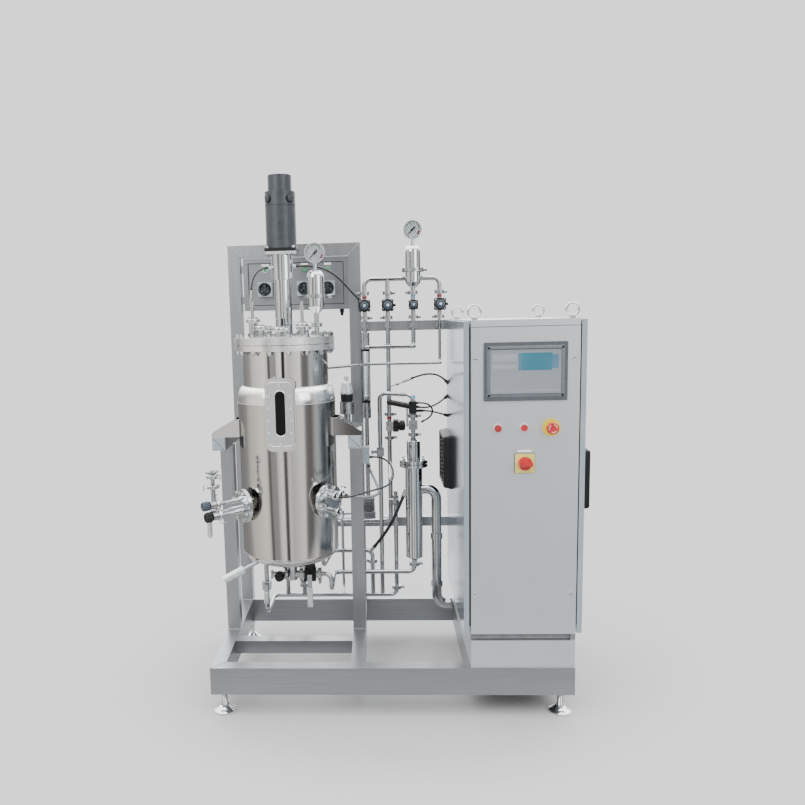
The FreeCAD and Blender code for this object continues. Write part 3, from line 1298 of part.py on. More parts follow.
def door():
    """The folded door leaf on its pins, with the holes for what it carries."""
    left, right = cabinet_left, cabinet_right
    low = cabinet_bottom + floor_band
    high = cabinet_top - roof_band - door_gap
    front = cabinet_front
    middle = cabinet_middle
    leaf = box(left, front, low, right, door_back, high)
    leaf = leaf.cut(box(left + sheet, front + sheet, low + sheet, right - sheet, door_back, high - sheet))
    half_wide = panel_width / 2 - panel_edge
    half_high = panel_height / 2 - panel_edge
    leaf = leaf.cut(box(middle - half_wide, front, panel_middle - half_high, middle + half_wide,
                        front + sheet, panel_middle + half_high))
    hinge_x = right - hinge_inset
    hinge_y = front + hinge_inset
    pin = door_gap + 6
    leaf = leaf.fuse([rod(Vector(hinge_x, hinge_y, high), Z, hinge_pin, pin),
                      rod(Vector(hinge_x, hinge_y, low - pin), Z, hinge_pin, pin)])
    for x, z in ((middle + lamp_x, lamp_row_height), (middle + estop_x, lamp_row_height),
                 (middle + button_x, lamp_row_height), (middle, switch_height)):
        leaf = leaf.cut(rod(Vector(x, front, z), Y, control_hole + 2 * press, sheet))
    for z in lock_heights:
        leaf = leaf.cut(rod(Vector(left + lock_inset, front, z), Y, lock_stem + 2 * press, sheet))
        leaf = leaf.fuse(rod(Vector(right - lock_inset - 4, front - 2, z), Y, 20, 2))
    bezel = ring(Vector(middle + button_x, front - 4, lamp_row_height), Y, 32, 22 + 2 * press, 4)
    add("cabinet_door", leaf.fuse(bezel))


def operator_panel():
    """The touch panel: a frame with a sunk screen in front of the door and its body behind."""
    front = cabinet_front
    middle = cabinet_middle
    wide, high = panel_width / 2, panel_height / 2
    frame = rounded_plate(middle, front - 6, panel_middle, panel_width, panel_height, 6, 4)
    frame = frame.cut(box(middle - wide + 20, front - 6, panel_middle - high + 24,
                          middle + wide - 20, front - 4, panel_middle + high - 24))
    wide -= panel_edge + press
    high -= panel_edge + press
    back = box(middle - wide, front, panel_middle - high, middle + wide, front + 40, panel_middle + high)
    add("operator_panel", frame.fuse(back))


def door_controls():
    """Signal lamp, start button, emergency stop and main switch, with their plates."""
    front = cabinet_front
    middle = cabinet_middle
    row = lamp_row_height
    add("switch_escutcheons", fused(rod(Vector(middle + lamp_x, front, row), Y, 22, 36),
                                    rod(Vector(middle + lamp_x, front - 4, row), Y, 32, 4),
                                    rod(Vector(middle + lamp_x, front - 12, row), Y, 24, 8)))
    ring_plate = ring(Vector(middle + estop_x, front - 3, row), Y, 60, 22 + 2 * press, 3)
    switch_plate = rounded_plate(middle, front - 5, switch_height, 66, 66, 5, 4)
    switch_plate = switch_plate.cut(rod(Vector(middle, front - 5, switch_height), Y, 12 + 2 * press, 5))
    add("switch_escutcheons", ring_plate, switch_plate)
    head_front = front - 32
    stop = fused(rod(Vector(middle + estop_x, front - 18, row), Y, 22, 44),
                 rod(Vector(middle + estop_x, head_front, row), Y, 40, 14))
    rim = [e for e in stop.Edges if abs(e.BoundBox.YMin - head_front) < 0.01
           and abs(e.BoundBox.YMax - head_front) < 0.01]
    add("emergency_stop_head", stop.makeFillet(3, rim))
    add("push_button", rod(Vector(middle + button_x, front - 9, row), Y, 22, 40))
    knob = fused(rod(Vector(middle, front - 5, switch_height), Y, 12, 40),
                 rod(Vector(middle, front - 13, switch_height), Y, 46, 8 - press),
                 box(middle - 22, front - 32, switch_height - 7, middle + 22, front - 13,
                     switch_height + 7))
    add("main_switch_knob", knob)


def door_locks():
    """Two quarter-turn locks; each tongue turns behind the lip of the cabinet's body."""
    front = cabinet_front
    x = cabinet_left + lock_inset
    behind_lip = door_back + door_swing_gap + sheet + 1
    tongue = lock_inset - sheet - lock_tongue_clearance
    half = lock_tongue_width / 2
    for name, z in zip(("door_lock_upper", "door_lock_lower"), lock_heights):
        add(name,
            rod(Vector(x, front - 2, z), Y, 20, 2),
            rod(Vector(x, front, z), Y, lock_stem, 10),
            rod(Vector(x, front + 10, z), Y, lock_stem - 2, behind_lip - front - 10),
            box(x - half, behind_lip, z - half, x + half, behind_lip + 4, z + tongue))


def cord_tubes():
    for name, (diameter, points) in cords.items():
        solid, wire, radii = swept(points, diameter)
        expected = math.pi * diameter ** 2 / 4 * wire.Length
        print("%s: length %.0f, radii %s, volume ratio %.4f" %
              (name, wire.Length, [round(r) for r in radii], solid.Volume / expected))
        add(name, solid)


base_frame()
levelling_feet()
upright_frame()
vessel()
lid()
lid_fittings()
side_ports()
sight_glass()
drive()
manifold()
rotameter()
upper_runs()
steam_line()
heater()
heater_valve()
return_pipe()
lower_runs()
bottom_outlet()
lid_filter()
left_cluster()
sampling_arm()
regulator()
junction_box()
pump_box()
cabinet()
side_covers()
control_gear()
door()
operator_panel()
door_controls()
door_locks()
cord_tubes()

# ---- origin at the bottom centre, then one file for each node --------------------------------------
bounds = FreeCAD.BoundBox()
for name, solids in nodes.items():
    if name not in cords:
        for solid in solids:
            bounds.add(solid.BoundBox)
shift = Vector(-bounds.Center.x, -bounds.Center.y, -bounds.ZMin)
print("shift %.4f %.4f %.4f" % tuple(shift), "size %.1f %.1f %.1f" %
      (bounds.XLength, bounds.YLength, bounds.ZLength), "nodes", len(nodes))

os.makedirs("parts", exist_ok=True)
for name, solids in nodes.items():
    shape = Part.makeCompound([s for solid in solids for s in solid.Solids])
    shape.translate(shift)
    shape.exportStep("parts/%s.step" % name)
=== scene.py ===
"""Skid-mounted bioreactor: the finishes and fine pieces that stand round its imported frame.

Metres, +Z up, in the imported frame's own axes: X to the right and Y away from the operator.
"""
import math

import bpy
import numpy as np
from mathutils import Matrix, Vector


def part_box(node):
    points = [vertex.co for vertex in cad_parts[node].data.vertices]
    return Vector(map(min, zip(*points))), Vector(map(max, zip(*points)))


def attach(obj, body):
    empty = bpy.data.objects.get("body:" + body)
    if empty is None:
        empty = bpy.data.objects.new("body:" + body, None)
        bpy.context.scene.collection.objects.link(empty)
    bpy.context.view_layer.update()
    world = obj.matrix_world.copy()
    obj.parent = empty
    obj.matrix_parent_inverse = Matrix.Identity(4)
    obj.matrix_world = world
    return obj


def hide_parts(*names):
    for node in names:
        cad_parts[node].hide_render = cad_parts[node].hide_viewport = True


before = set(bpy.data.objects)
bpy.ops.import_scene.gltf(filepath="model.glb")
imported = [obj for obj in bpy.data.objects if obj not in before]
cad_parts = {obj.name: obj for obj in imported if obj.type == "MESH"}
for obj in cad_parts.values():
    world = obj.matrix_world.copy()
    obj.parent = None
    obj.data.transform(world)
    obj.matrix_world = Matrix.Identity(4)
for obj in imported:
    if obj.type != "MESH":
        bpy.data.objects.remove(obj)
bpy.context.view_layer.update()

# ---- camera ----------
# A 33 mm lens at eye height in front of the skid, tipped down and turned a little to the left, with
# the slight lean of a camera held by hand.
camera_data = bpy.data.cameras.new("camera")
camera_data.lens = 33.13
camera_data.sensor_width = 36.0
camera_data.shift_x = 0.0777
camera_data.shift_y = 0.0142
eye = Vector((-0.0549, -2.8712, 1.4186))
heading = math.radians(-2.858)
tilt = math.radians(7.485)
lean = math.radians(-1.363)
forward = Vector((math.sin(heading) * math.cos(tilt), math.cos(heading) * math.cos(tilt), -math.sin(tilt)))
level = Vector((math.cos(heading), -math.sin(heading), 0.0))
above = level.cross(forward)
right = level * math.cos(lean) + above * math.sin(lean)
up = above * math.cos(lean) - level * math.sin(lean)
camera = bpy.data.objects.new("camera", camera_data)
camera.matrix_world = Matrix.Translation(eye) @ Matrix((right, up, -forward)).transposed().to_4x4()
bpy.context.scene.collection.objects.link(camera)
bpy.context.scene.camera = camera

# ---- cables and hoses ----------
# PVC cables and rubber hoses between glands: each keeps the route that the frame gives it, drawn as
# one smooth spline. Routes are measured from the base's front edge, at its middle, on the floor.
base_middle = Vector((-0.0221002, -0.384, 0.0))


def at(x, y, z):
    """A place measured from the base's front edge, at its middle, on the floor."""
    return base_middle + Vector((x, y, z))


def tone(code):
    """A colour from its six hex digits, undoing the screen's 2.4 power curve."""
    parts = [int(code[i:i + 2], 16) / 255 for i in (0, 2, 4)]
    return [c / 12.92 if c < 0.04045 else ((c + 0.055) / 1.055) ** 2.4 for c in parts] + [1.0]


def wired(tree, kind, inputs, **settings):
    """A shader node of a kind with its settings. Each input takes a value, or is joined to a socket."""
    node = tree.nodes.new("ShaderNode" + kind)
    for name, value in settings.items():
        setattr(node, name, value)
    for name, value in inputs.items():
        if isinstance(value, bpy.types.NodeSocket):
            tree.links.new(value, node.inputs[name])
        else:
            node.inputs[name].default_value = value
    return node


def finish(name, light, dark, scale=60, grain=(1, 1, 1), metallic=0.0, rough=(0.4, 0.5), bump=0.0,
           coat=0.0, clear=0.0, shine=0.5):
    """A surface whose colour and roughness drift between two values with one noise, stretched along
    the grain, and whose skin rises and falls with a finer noise, bump metres high."""
    made = bpy.data.materials.new(name)
    made.use_nodes = True
    tree = made.node_tree
    shader = tree.nodes["Principled BSDF"]
    for socket, value in (("Metallic", metallic), ("Coat Weight", coat), ("Transmission Weight", clear),
                          ("Specular IOR Level", shine)):
        shader.inputs[socket].default_value = value
    where = wired(tree, "TexCoord", {})
    stretched = wired(tree, "Mapping", {"Vector": where.outputs["Object"], "Scale": grain}).outputs["Vector"]
    drift = wired(tree, "TexNoise", {"Vector": stretched, "Scale": scale, "Detail": 5.0}).outputs["Fac"]
    blend = wired(tree, "ValToRGB", {"Fac": drift})
    for stop, place, code in zip(blend.color_ramp.elements, (0.35, 0.65), (dark, light)):
        stop.position, stop.color = place, tone(code)
    sheen = wired(tree, "MapRange", {"Value": drift, "From Min": 0.3, "From Max": 0.7, "To Min": rough[0],
                                     "To Max": rough[1]})
    tree.links.new(blend.outputs["Color"], shader.inputs["Base Color"])
    tree.links.new(sheen.outputs["Result"], shader.inputs["Roughness"])
    if bump:
        fine = wired(tree, "TexNoise", {"Vector": stretched, "Scale": scale * 6, "Detail": 3.0})
        relief = wired(tree, "Bump", {"Height": fine.outputs["Fac"], "Strength": 1.0, "Distance": bump})
        tree.links.new(relief.outputs["Normal"], shader.inputs["Normal"])
    return made


black_pvc = finish("black PVC", "2b2c2e", "1a1b1c", rough=(0.32, 0.45), bump=0.00006)
grey_hose = finish("grey hose", "83878c", "696d72", scale=50, rough=(0.30, 0.42), bump=0.00008)
black_rubber = finish("black rubber", "232425", "141415", scale=80, rough=(0.45, 0.62), bump=0.0001)

cord_routes = [
    ("valve_air_hose", 0.008, 0.414, black_pvc, "stiff",
     [(-0.3225, 0.276, 1.606), (-0.303, 0.2873, 1.6075), (-0.275, 0.315, 1.610), (-0.240, 0.362, 1.606),
      (-0.208, 0.416, 1.594), (-0.178, 0.470, 1.574), (-0.152, 0.520, 1.546), (-0.122, 0.563, 1.512),
      (-0.0955, 0.5757, 1.4845)]),
    ("lid_cable", 0.006, 0.116, black_pvc, "medium",
     [(-0.4164, 0.2322, 1.600), (-0.434, 0.226, 1.598), (-0.453, 0.218, 1.588), (-0.467, 0.211, 1.568),
      (-0.475, 0.2065, 1.542), (-0.477, 0.2058, 1.520)]),
    ("cabinet_cable_1", 0.008, 0.154, black_pvc, "medium",
     [(0.112, 0.590, 1.157), (0.142, 0.585, 1.168), (0.176, 0.5785, 1.176), (0.209, 0.5715, 1.175),
      (0.235, 0.565, 1.164), (0.252, 0.560, 1.148)]),
    ("cabinet_cable_2", 0.007, 0.169, black_pvc, "medium",
     [(0.130, 0.452, 1.055), (0.152, 0.458, 1.051), (0.179, 0.474, 1.051), (0.206, 0.500, 1.057),
      (0.230, 0.531, 1.067), (0.250, 0.560, 1.078)]),
    ("cabinet_cable_3", 0.007, 0.155, black_pvc, "medium",
     [(0.148, 0.448, 1.040), (0.171, 0.465, 1.037), (0.198, 0.493, 1.029), (0.224, 0.526, 1.018),
      (0.249, 0.560, 1.007)]),
    ("cabinet_cable_4", 0.007, 0.146, black_pvc, "medium",
     [(0.126, 0.441, 1.072), (0.150, 0.440, 1.073), (0.174, 0.440, 1.066), (0.190, 0.441, 1.047),
      (0.186, 0.444, 1.023), (0.168, 0.447, 1.006), (0.145, 0.449, 0.995)]),
    ("port_hose", 0.010, 0.402, grey_hose, "medium",
     [(-0.1473, 0.0861, 0.7877), (-0.1274, 0.0694, 0.7877), (-0.1027, 0.0614, 0.787),
      (-0.0768, 0.0632, 0.786), (-0.0534, 0.0746, 0.785), (-0.035, 0.098, 0.786), (-0.029, 0.134, 0.788),
      (-0.031, 0.174, 0.790), (-0.036, 0.216, 0.794), (-0.042, 0.260, 0.799), (-0.050, 0.300, 0.807),
      (-0.059, 0.332, 0.820), (-0.067, 0.352, 0.840)]),
    ("port_cable", 0.007, 0.509, black_pvc, "medium",
     [(-0.1679, 0.0615, 0.7877), (-0.148, 0.0448, 0.789), (-0.120, 0.034, 0.797), (-0.088, 0.033, 0.807),
      (-0.056, 0.044, 0.813), (-0.027, 0.068, 0.815), (-0.002, 0.104, 0.815), (0.015, 0.148, 0.818),
      (0.025, 0.196, 0.829), (0.025, 0.244, 0.846), (0.013, 0.288, 0.863), (-0.009, 0.324, 0.873),
      (-0.033, 0.349, 0.875), (-0.060, 0.363, 0.872)]),
    ("drain_hose", 0.013, 0.264, black_rubber, "medium",
     [(0.070, 0.448, 0.694), (0.052, 0.449, 0.651), (0.033, 0.453, 0.607), (0.012, 0.461, 0.564),
      (-0.012, 0.473, 0.524), (-0.034, 0.486, 0.492), (-0.050, 0.500, 0.468)]),
]
for name, diameter, length, skin, stiffness, route in cord_routes:
    line = bpy.data.curves.new(name + "_line", "CURVE")
    line.dimensions = "3D"
    line.bevel_depth = diameter / 2
    line.bevel_resolution = 5
    line.resolution_u = 10
    line.use_fill_caps = True
    spline = line.splines.new("NURBS")
    spline.points.add(len(route) - 1)
    places = np.array(route) + np.array(base_middle)
    spline.points.foreach_set("co", np.c_[places, np.ones(len(route))].ravel())
    spline.order_u = 3
    spline.use_endpoint_u = True
    line.materials.append(skin)
    cord = bpy.data.objects.new(name + "_sheath", line)
    bpy.context.scene.collection.objects.link(cord)
    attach(cord, "skid")
    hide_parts(name)

# ---- base frame ----------
# Rectangular stainless tube, mitred and welded at the corners, its faces sanded to a long satin grain.
# The levelling feet are turned from bright bar, with a cut thread on each stem.
satin_across = finish("satin steel along X", "989b9e", "8e9093", grain=(0.1, 9, 9), metallic=1.0,
                      rough=(0.30, 0.38), bump=0.000006)
satin_upright = finish("satin steel along Z", "a4a6a9", "9a9c9f", grain=(9, 9, 0.1), metallic=1.0,
                       rough=(0.30, 0.38), bump=0.000006)
bright_steel = finish("polished steel", "d6d8da", "c9cbcd", scale=9, metallic=1.0, rough=(0.06, 0.12))
weld_steel = finish("dressed weld", "b5b6b6", "94918c", scale=300, metallic=1.0, rough=(0.28, 0.45),
                    bump=0.0002)


def coat_node(material, *names):
    """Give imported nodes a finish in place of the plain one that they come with."""
    for node in names:
        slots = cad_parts[node].data.materials
        slots.clear()
        slots.append(material)


def piece(name, points, faces, material, body="skid", crease=35.0):
    """A new piece from points and faces, smooth but for edges sharper than the crease, on its body."""
    mesh = bpy.data.meshes.new(name)
    mesh.from_pydata(np.asarray(points).tolist(), [], faces)
    mesh.shade_smooth()
    mesh.set_sharp_from_angle(angle=math.radians(crease))
    mesh.materials.append(material)
    made = bpy.data.objects.new(name, mesh)
    bpy.context.scene.collection.objects.link(made)
    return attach(made, body)


top_turn = Matrix(((1, 0, 0), (0, 1, 0), (0, 0, 1)))


def circle(radius, steps=64):
    """A round outline: points and outward directions at even angles."""
    angle = np.arange(steps) * 2 * np.pi / steps
    out = np.c_[np.cos(angle), np.sin(angle)]
    return out * radius, out


def carried(name, outline, profile, centre, turn, material, body="skid", loop=False):
    """Carry a profile round a flat outline. Each profile point is (outward step, height): the surface
    is outline + outward x step in the plane, and centre + height along the plane's own axis. The ends
    are closed with flat faces, or the profile closes on itself."""
    points, out = outline
    profile = np.array(profile, float)
    rows, count = len(profile), len(points)
    flat = points[None] + out[None] * profile[:, 0, None, None]
    heights = np.broadcast_to(profile[:, 1, None, None], (rows, count, 1))
    grid = np.concatenate([flat, heights], 2).reshape(-1, 3) @ np.array(turn).T + np.array(centre)
    last = rows if loop else rows - 1
    i, j = np.meshgrid(np.arange(last), np.arange(count), indexing="ij")
    above_i, next_j = (i + 1) % rows, (j + 1) % count
    quads = np.stack([i * count + j, i * count + next_j, above_i * count + next_j, above_i * count + j], -1)
    faces = quads.reshape(-1, 4).tolist()
    if not loop:
        faces.append(list(range((rows - 1) * count, rows * count)))
        faces.append(list(range(count))[::-1])
    return piece(name, grid, faces, material, body)


coat_node(satin_across, "base_frame")
coat_node(bright_steel, "levelling_feet")
base_low, base_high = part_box("base_frame")
feet_low, feet_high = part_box("levelling_feet")
foot_radius, stem_radius, stem_foot = 0.040, 0.010, 0.024
pitch, turns_cut = 0.003, 14
thread = [(-pitch, 0.0)]
for k in range(turns_cut):
    thread += [(0.0, pitch * k), (0.0009, pitch * (k + 0.5))]
thread += [(0.0, pitch * turns_cut), (-pitch, pitch * turns_cut)]
for i, x in enumerate((feet_low.x + foot_radius, feet_high.x - foot_radius)):
    for j, y in enumerate((feet_low.y + foot_radius, feet_high.y - foot_radius)):
        carried("foot_thread_%d%d" % (i, j), circle(stem_radius, 32), thread, (x, y, stem_foot), top_turn,
                bright_steel)
tube_wide = 0.050
seam = 0.0011
mitres = []
for x, x_in in ((base_low.x, 1), (base_high.x, -1)):
    for y, y_in in ((base_low.y, 1), (base_high.y, -1)):
        mitres.append(((x, y, base_high.z), (x + x_in * tube_wide, y + y_in * tube_wide, base_high.z)))
        mitres.append(((x, y, base_low.z), (x, y, base_high.z)))


def rods(name, ends, radius, material, body="skid", sides=10):
    """Round bars between pairs of points: a circle square to the line at each end, with the two joined
    and capped."""
    ends = np.array([[tuple(p) for p in pair] for pair in ends], float)
    axis = ends[:, 1] - ends[:, 0]
    axis /= np.linalg.norm(axis, axis=1, keepdims=True)
    helper = np.where(np.abs(axis[:, 2:]) < 0.9, (0.0, 0.0, 1.0), (1.0, 0.0, 0.0))
    across = np.cross(axis, helper)
    across /= np.linalg.norm(across, axis=1, keepdims=True)
    third = np.cross(axis, across)
    angle = np.arange(sides) * 2 * np.pi / sides
    ring = np.cos(angle)[None, :, None] * across[:, None] + np.sin(angle)[None, :, None] * third[:, None]
    points = (ends[:, :, None, :] + radius * ring[:, None]).reshape(-1, 3)
    i = np.arange(sides)
    walls = np.stack([i, (i + 1) % sides, (i + 1) % sides + sides, i + sides], -1)
    faces = []
    for low in range(0, len(points), 2 * sides):
        faces += (walls + low).tolist()
        faces += [list(range(low + sides, low + 2 * sides)), list(range(low, low + sides))[::-1]]
    return piece(name, points, faces, material, body)


rods("base_mitre_welds", mitres, seam, weld_steel, sides=8)

# ---- upright frame ----------
# Square tube posts, the mitred portal behind the vessel and the rails that carry the pipework. Open
# tube ends have moulded plugs, and a weld bead runs round each rail where it meets a post.
grey_moulding = finish("grey moulding", "9fa9b0", "939da5", scale=70, rough=(0.35, 0.45), bump=0.00003)
coat_node(satin_upright, "upright_frame")
# a seat's axes: sideways, up and outward, for seats that face the front, the right and the back
front_turn = Matrix(((1, 0, 0), (0, 0, -1), (0, 1, 0)))
right_turn = Matrix(((0, 0, 1), (1, 0, 0), (0, 1, 0)))
back_turn = Matrix(((-1, 0, 0), (0, 0, 1), (0, 1, 0)))
post, rail = 0.050, 0.040
left_post_x, mid_post_x, right_post_x = base_low.x + post / 2, base_middle.x - 0.115, base_high.x - post / 2
front_post_y, rear_post_y = base_middle.y + 0.361, base_middle.y + 0.675
portal_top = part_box("upright_frame")[1].z
portal_face = rear_post_y - post / 2
portal_ends = ((left_post_x - post / 2, 1), (mid_post_x + post / 2, -1))
portal_mitres = [((x, y, portal_top), (x + inward * post, y, portal_top - post))
                 for y in (portal_face, portal_face + post) for x, inward in portal_ends]
rods("portal_mitre_welds", portal_mitres, seam, weld_steel, sides=8)


def rounded(width, height, corner, steps=8):
    """A rectangle with round corners: each corner is a quarter of a circle about its own centre."""
    angle = np.linspace(0, np.pi / 2, steps)
    turns = np.arange(4)[:, None] * np.pi / 2
    out = np.stack([np.cos(angle + turns), np.sin(angle + turns)], -1)
    signs = np.array([(1, 1), (-1, 1), (-1, -1), (1, -1)])[:, None, :]
    centres = signs * np.array([width / 2 - corner, height / 2 - corner])
    return (centres + out * corner).reshape(-1, 2), out.reshape(-1, 2)


beam_front, beam_rear, beam_z = base_middle.y + 0.200, base_middle.y + 0.520, 0.960
low_top, rails_top = 0.550, 1.395
plug = [(-0.0035, -0.006), (-0.0035, 0), (0, 0), (0, 0.0016), (-0.0012, 0.0026), (-0.004, 0.0028)]
for name, place, turn in (("beam_plug_left", (left_post_x, beam_front, beam_z), front_turn),
                          ("beam_plug_right", (mid_post_x, beam_front, beam_z), front_turn),
                          ("beam_plug_left_rear", (left_post_x, beam_rear, beam_z), back_turn),
                          ("beam_plug_right_rear", (mid_post_x, beam_rear, beam_z), back_turn),
                          ("post_plug", (right_post_x, rear_post_y, rails_top), top_turn)):
    carried(name, rounded(post - 0.001, post - 0.001, 0.003), plug, place, turn, grey_moulding)
bead_angle = np.arange(8) * np.pi / 4
bead = np.c_[np.cos(bead_angle), np.sin(bead_angle)]
foot_z, head_z = 0.180, 0.935
for name, x, y, z in (("left_post_foot", left_post_x, front_post_y, foot_z),
                      ("mid_post_foot", mid_post_x, front_post_y, foot_z),
                      ("left_portal_foot", left_post_x, rear_post_y, foot_z),
                      ("mid_portal_foot", mid_post_x, rear_post_y, foot_z),
                      ("right_post_foot", right_post_x, rear_post_y, foot_z),
                      ("left_post_head", left_post_x, front_post_y, head_z),
                      ("mid_post_head", mid_post_x, front_post_y, head_z)):
    carried("weld_" + name, rounded(post, post, 0.001, 2), bead * 0.0016, (x, y, z), top_turn, weld_steel,
            loop=True)
rail_y = portal_face + rail / 2
for name, post_x, side, top in (
        ("low_left", left_post_x, 1, low_top), ("low_middle_left", mid_post_x, -1, low_top),
        ("low_middle_right", mid_post_x, 1, low_top), ("low_right", right_post_x, -1, low_top),
        ("high_middle", mid_post_x, 1, rails_top), ("high_right", right_post_x, -1, rails_top)):
    carried("weld_rail_" + name, rounded(rail, rail, 0.001, 2), bead * 0.0014,
            (post_x + side * post / 2, rail_y, top - rail / 2), right_turn, weld_steel, loop=True)

# ---- vessel ----------
# Rolled and mirror-polished sheet: an inner shell with a bolted flange, inside a heating jacket with
# a dished bottom. Each round seam is a fine dressed weld bead.
mirror_steel = finish("mirror steel", "dcdad7", "d6d4d1", scale=4, metallic=1.0, rough=(0.05, 0.09))
jacket_steel = finish("polished jacket", "c6c4c1", "bfbdba", scale=7, grain=(1, 1, 0.2), metallic=1.0,
                      rough=(0.10, 0.14))
coat_node(bright_steel, "vessel_fittings", "vessel_bolts")

shell_low, shell_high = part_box("vessel_shell")
vessel_x, vessel_y = (shell_low.x + shell_high.x) / 2, (shell_low.y + shell_high.y) / 2
jacket_radius, neck_radius = 0.181, 0.158
shoulder_z, neck_z, dish_z, flange_z = 1.114, 1.174, 0.552, 1.303
for name, radius, height in (("shoulder_weld", jacket_radius, shoulder_z), ("neck_weld", neck_radius, neck_z),
                             ("dish_weld", jacket_radius, dish_z)):
    carried(name, circle(radius, 128), bead * 0.0011, (vessel_x, vessel_y, height), top_turn,
            weld_steel, loop=True)


def parted(node, sorts, body="skid"):
    """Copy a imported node's triangles into new pieces that stand for it, each welded and smoothed. A
    sort is (name, material, rule): the rule says from the triangles' middles which belong to it, the
    last sort takes the rest, and a sort with no name is left out."""
    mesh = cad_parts[node].data
    points = np.zeros(len(mesh.vertices) * 3)
    mesh.vertices.foreach_get("co", points)
    corners = np.zeros(len(mesh.polygons) * 3, int)
    mesh.polygons.foreach_get("vertices", corners)
    places, index = np.unique(points.reshape(-1, 3).round(7), axis=0, return_inverse=True)
    triangles = index.reshape(-1)[corners].reshape(-1, 3)
    distinct = (triangles[:, 0] != triangles[:, 1]) & (triangles[:, 1] != triangles[:, 2])
    triangles = triangles[distinct & (triangles[:, 0] != triangles[:, 2])]
    middles = places[triangles].mean(1)
    left = np.ones(len(triangles), bool)
    made = []
    for name, material, rule in sorts:
        chosen = left & rule(middles) if rule else left
        left = left & ~chosen
        if name is None:
            continue
        used, faces = np.unique(triangles[chosen], return_inverse=True)
        made.append(piece(name, places[used], faces.reshape(-1, 3).tolist(), material, body, 28.0))
    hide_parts(node)
    return made


silicone = finish("white silicone", "e9e9e6", "dcdcd8")
lid_low, lid_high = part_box("lid")
turned_rim = finish("turned rim", "f8f8f7", "ececea", scale=30, metallic=1.0, rough=(0.26, 0.34))
parted("lid", [("lid_gasket", silicone, lambda m: m[:, 2] < lid_low.z + 0.0019),
               ("lid_plate", turned_rim, None)])
parted("vessel_shell", [("vessel_flange", turned_rim, lambda m: m[:, 2] > flange_z - 0.0001),
                        ("vessel_wall", mirror_steel, None)])
# the jacket's plain cone gives way to a spun shoulder, rounded on a quarter of an ellipse
shoulder_steel = finish("spun shoulder", "fafaf9", "f0f0ee", scale=20, metallic=1.0, rough=(0.15, 0.21))
shoulder_rise, shoulder_reach, shoulder_wall = 0.060, 0.023, 0.003
curve = np.linspace(0, np.pi / 2, 15)
outside = np.c_[shoulder_reach * (np.cos(curve) - 1), shoulder_rise * np.sin(curve)]
inside = np.c_[(shoulder_reach - shoulder_wall) * (np.cos(curve) - 1) - shoulder_wall,
               (shoulder_rise - shoulder_wall) * np.sin(curve)][::-1]
carried("jacket_shoulder", circle(jacket_radius, 160), np.concatenate([outside, inside]),
        (vessel_x, vessel_y, shoulder_z), top_turn, shoulder_steel, loop=True)


def plain_cone(m):
    """The jacket's cone: between the shoulder's foot and its neck, and no further out than the jacket."""
    return ((m[:, 2] > shoulder_z + 0.0001) & (m[:, 2] < neck_z + 0.0005)
            & (np.hypot(m[:, 0] - vessel_x, m[:, 1] - vessel_y) < jacket_radius + 0.0003))


parted("jacket_shell", [(None, None, plain_cone), ("jacket_wall", jacket_steel, None)])


def step_round(turn, degrees, radius):
    """A step across a seat's face: radius long, at an angle from the seat's own sideways axis."""
    angle = math.radians(degrees)
    return (Vector(turn.col[0]) * math.cos(angle) + Vector(turn.col[1]) * math.sin(angle)) * radius


def clamped(name, centre, turn, radius, degrees):
    """A clamp union: a wedge-shaped band round a joint, with its hinge on one side and a wing nut on
    the other. The band's profile is carried round a circle, and the rest are round bars."""
    along, out = Vector(turn.col[2]), step_round(turn, degrees, 1)
    carried(name + "_band", circle(radius, 40),
            [(-0.004, -0.0072), (-0.0008, -0.006), (0, -0.0045), (0, 0.0045), (-0.0008, 0.006),
             (-0.004, 0.0072)], centre, turn, bright_steel, loop=True)
    tip = centre + out * (radius + 0.013)
    hinge = centre - out * (radius + 0.0015)
    rods(name + "_nut", [(centre + out * (radius - 0.003), tip), (tip - along * 0.011, tip + along * 0.011),
                         (hinge - along * 0.006, hinge + along * 0.006)], 0.0028, bright_steel, sides=8)


# each lid port: its angle in degrees from the right, its outer diameter and its height over the lid
port_circle = 0.118
lid_ports = ((-50, 0.034, 0.044), (-92, 0.040, 0.030), (-128, 0.034, 0.036), (-158, 0.040, 0.062),
             (165, 0.034, 0.062), (128, 0.040, 0.028), (95, 0.034, 0.040), (58, 0.050, 0.030))
for degrees, wide, tall in lid_ports:
    clamped("lid_union_%d" % (degrees % 360), Vector((vessel_x, vessel_y, lid_high.z + tall - 0.001))
            + step_round(top_turn, degrees, port_circle), top_turn, wide / 2 + 0.004, degrees + 70)

# ---- sight glass ----------
# A machined frame screwed on the jacket's pad, with a thick oblong pane behind its slot. A bright rim
# runs round the frame's face, and a rolled lip round the slot.
milled_steel = finish("milled steel", "dcdddf", "d0d1d3", scale=50, metallic=1.0, rough=(0.22, 0.30),
                      bump=0.00002)
dark_pane = finish("dark pane", "0a0b0c", "060707", scale=6, rough=(0.03, 0.06), shine=0.12)
coat_node(milled_steel, "sight_glass_frame")
coat_node(dark_pane, "sight_glass_pane")
plate_front, pad_z, slot_z = vessel_y - 0.196, 1.085, 1.088
carried("glass_rim", rounded(0.0945, 0.2285, 0.0222),
        [(0, -0.0002), (0, 0.0012), (-0.001, 0.002), (-0.003, 0.002), (-0.004, 0.0012), (-0.004, -0.0002)],
        (vessel_x, plate_front, pad_z), front_turn, bright_steel, loop=True)
carried("glass_lip", rounded(0.0438, 0.1658, 0.0219, 16),
        [(0, -0.0002), (0, 0.0020), (-0.0012, 0.0032), (-0.0035, 0.0032), (-0.0047, 0.0020),
         (-0.0047, -0.0002)], (vessel_x, plate_front, slot_z), front_turn, bright_steel, loop=True)

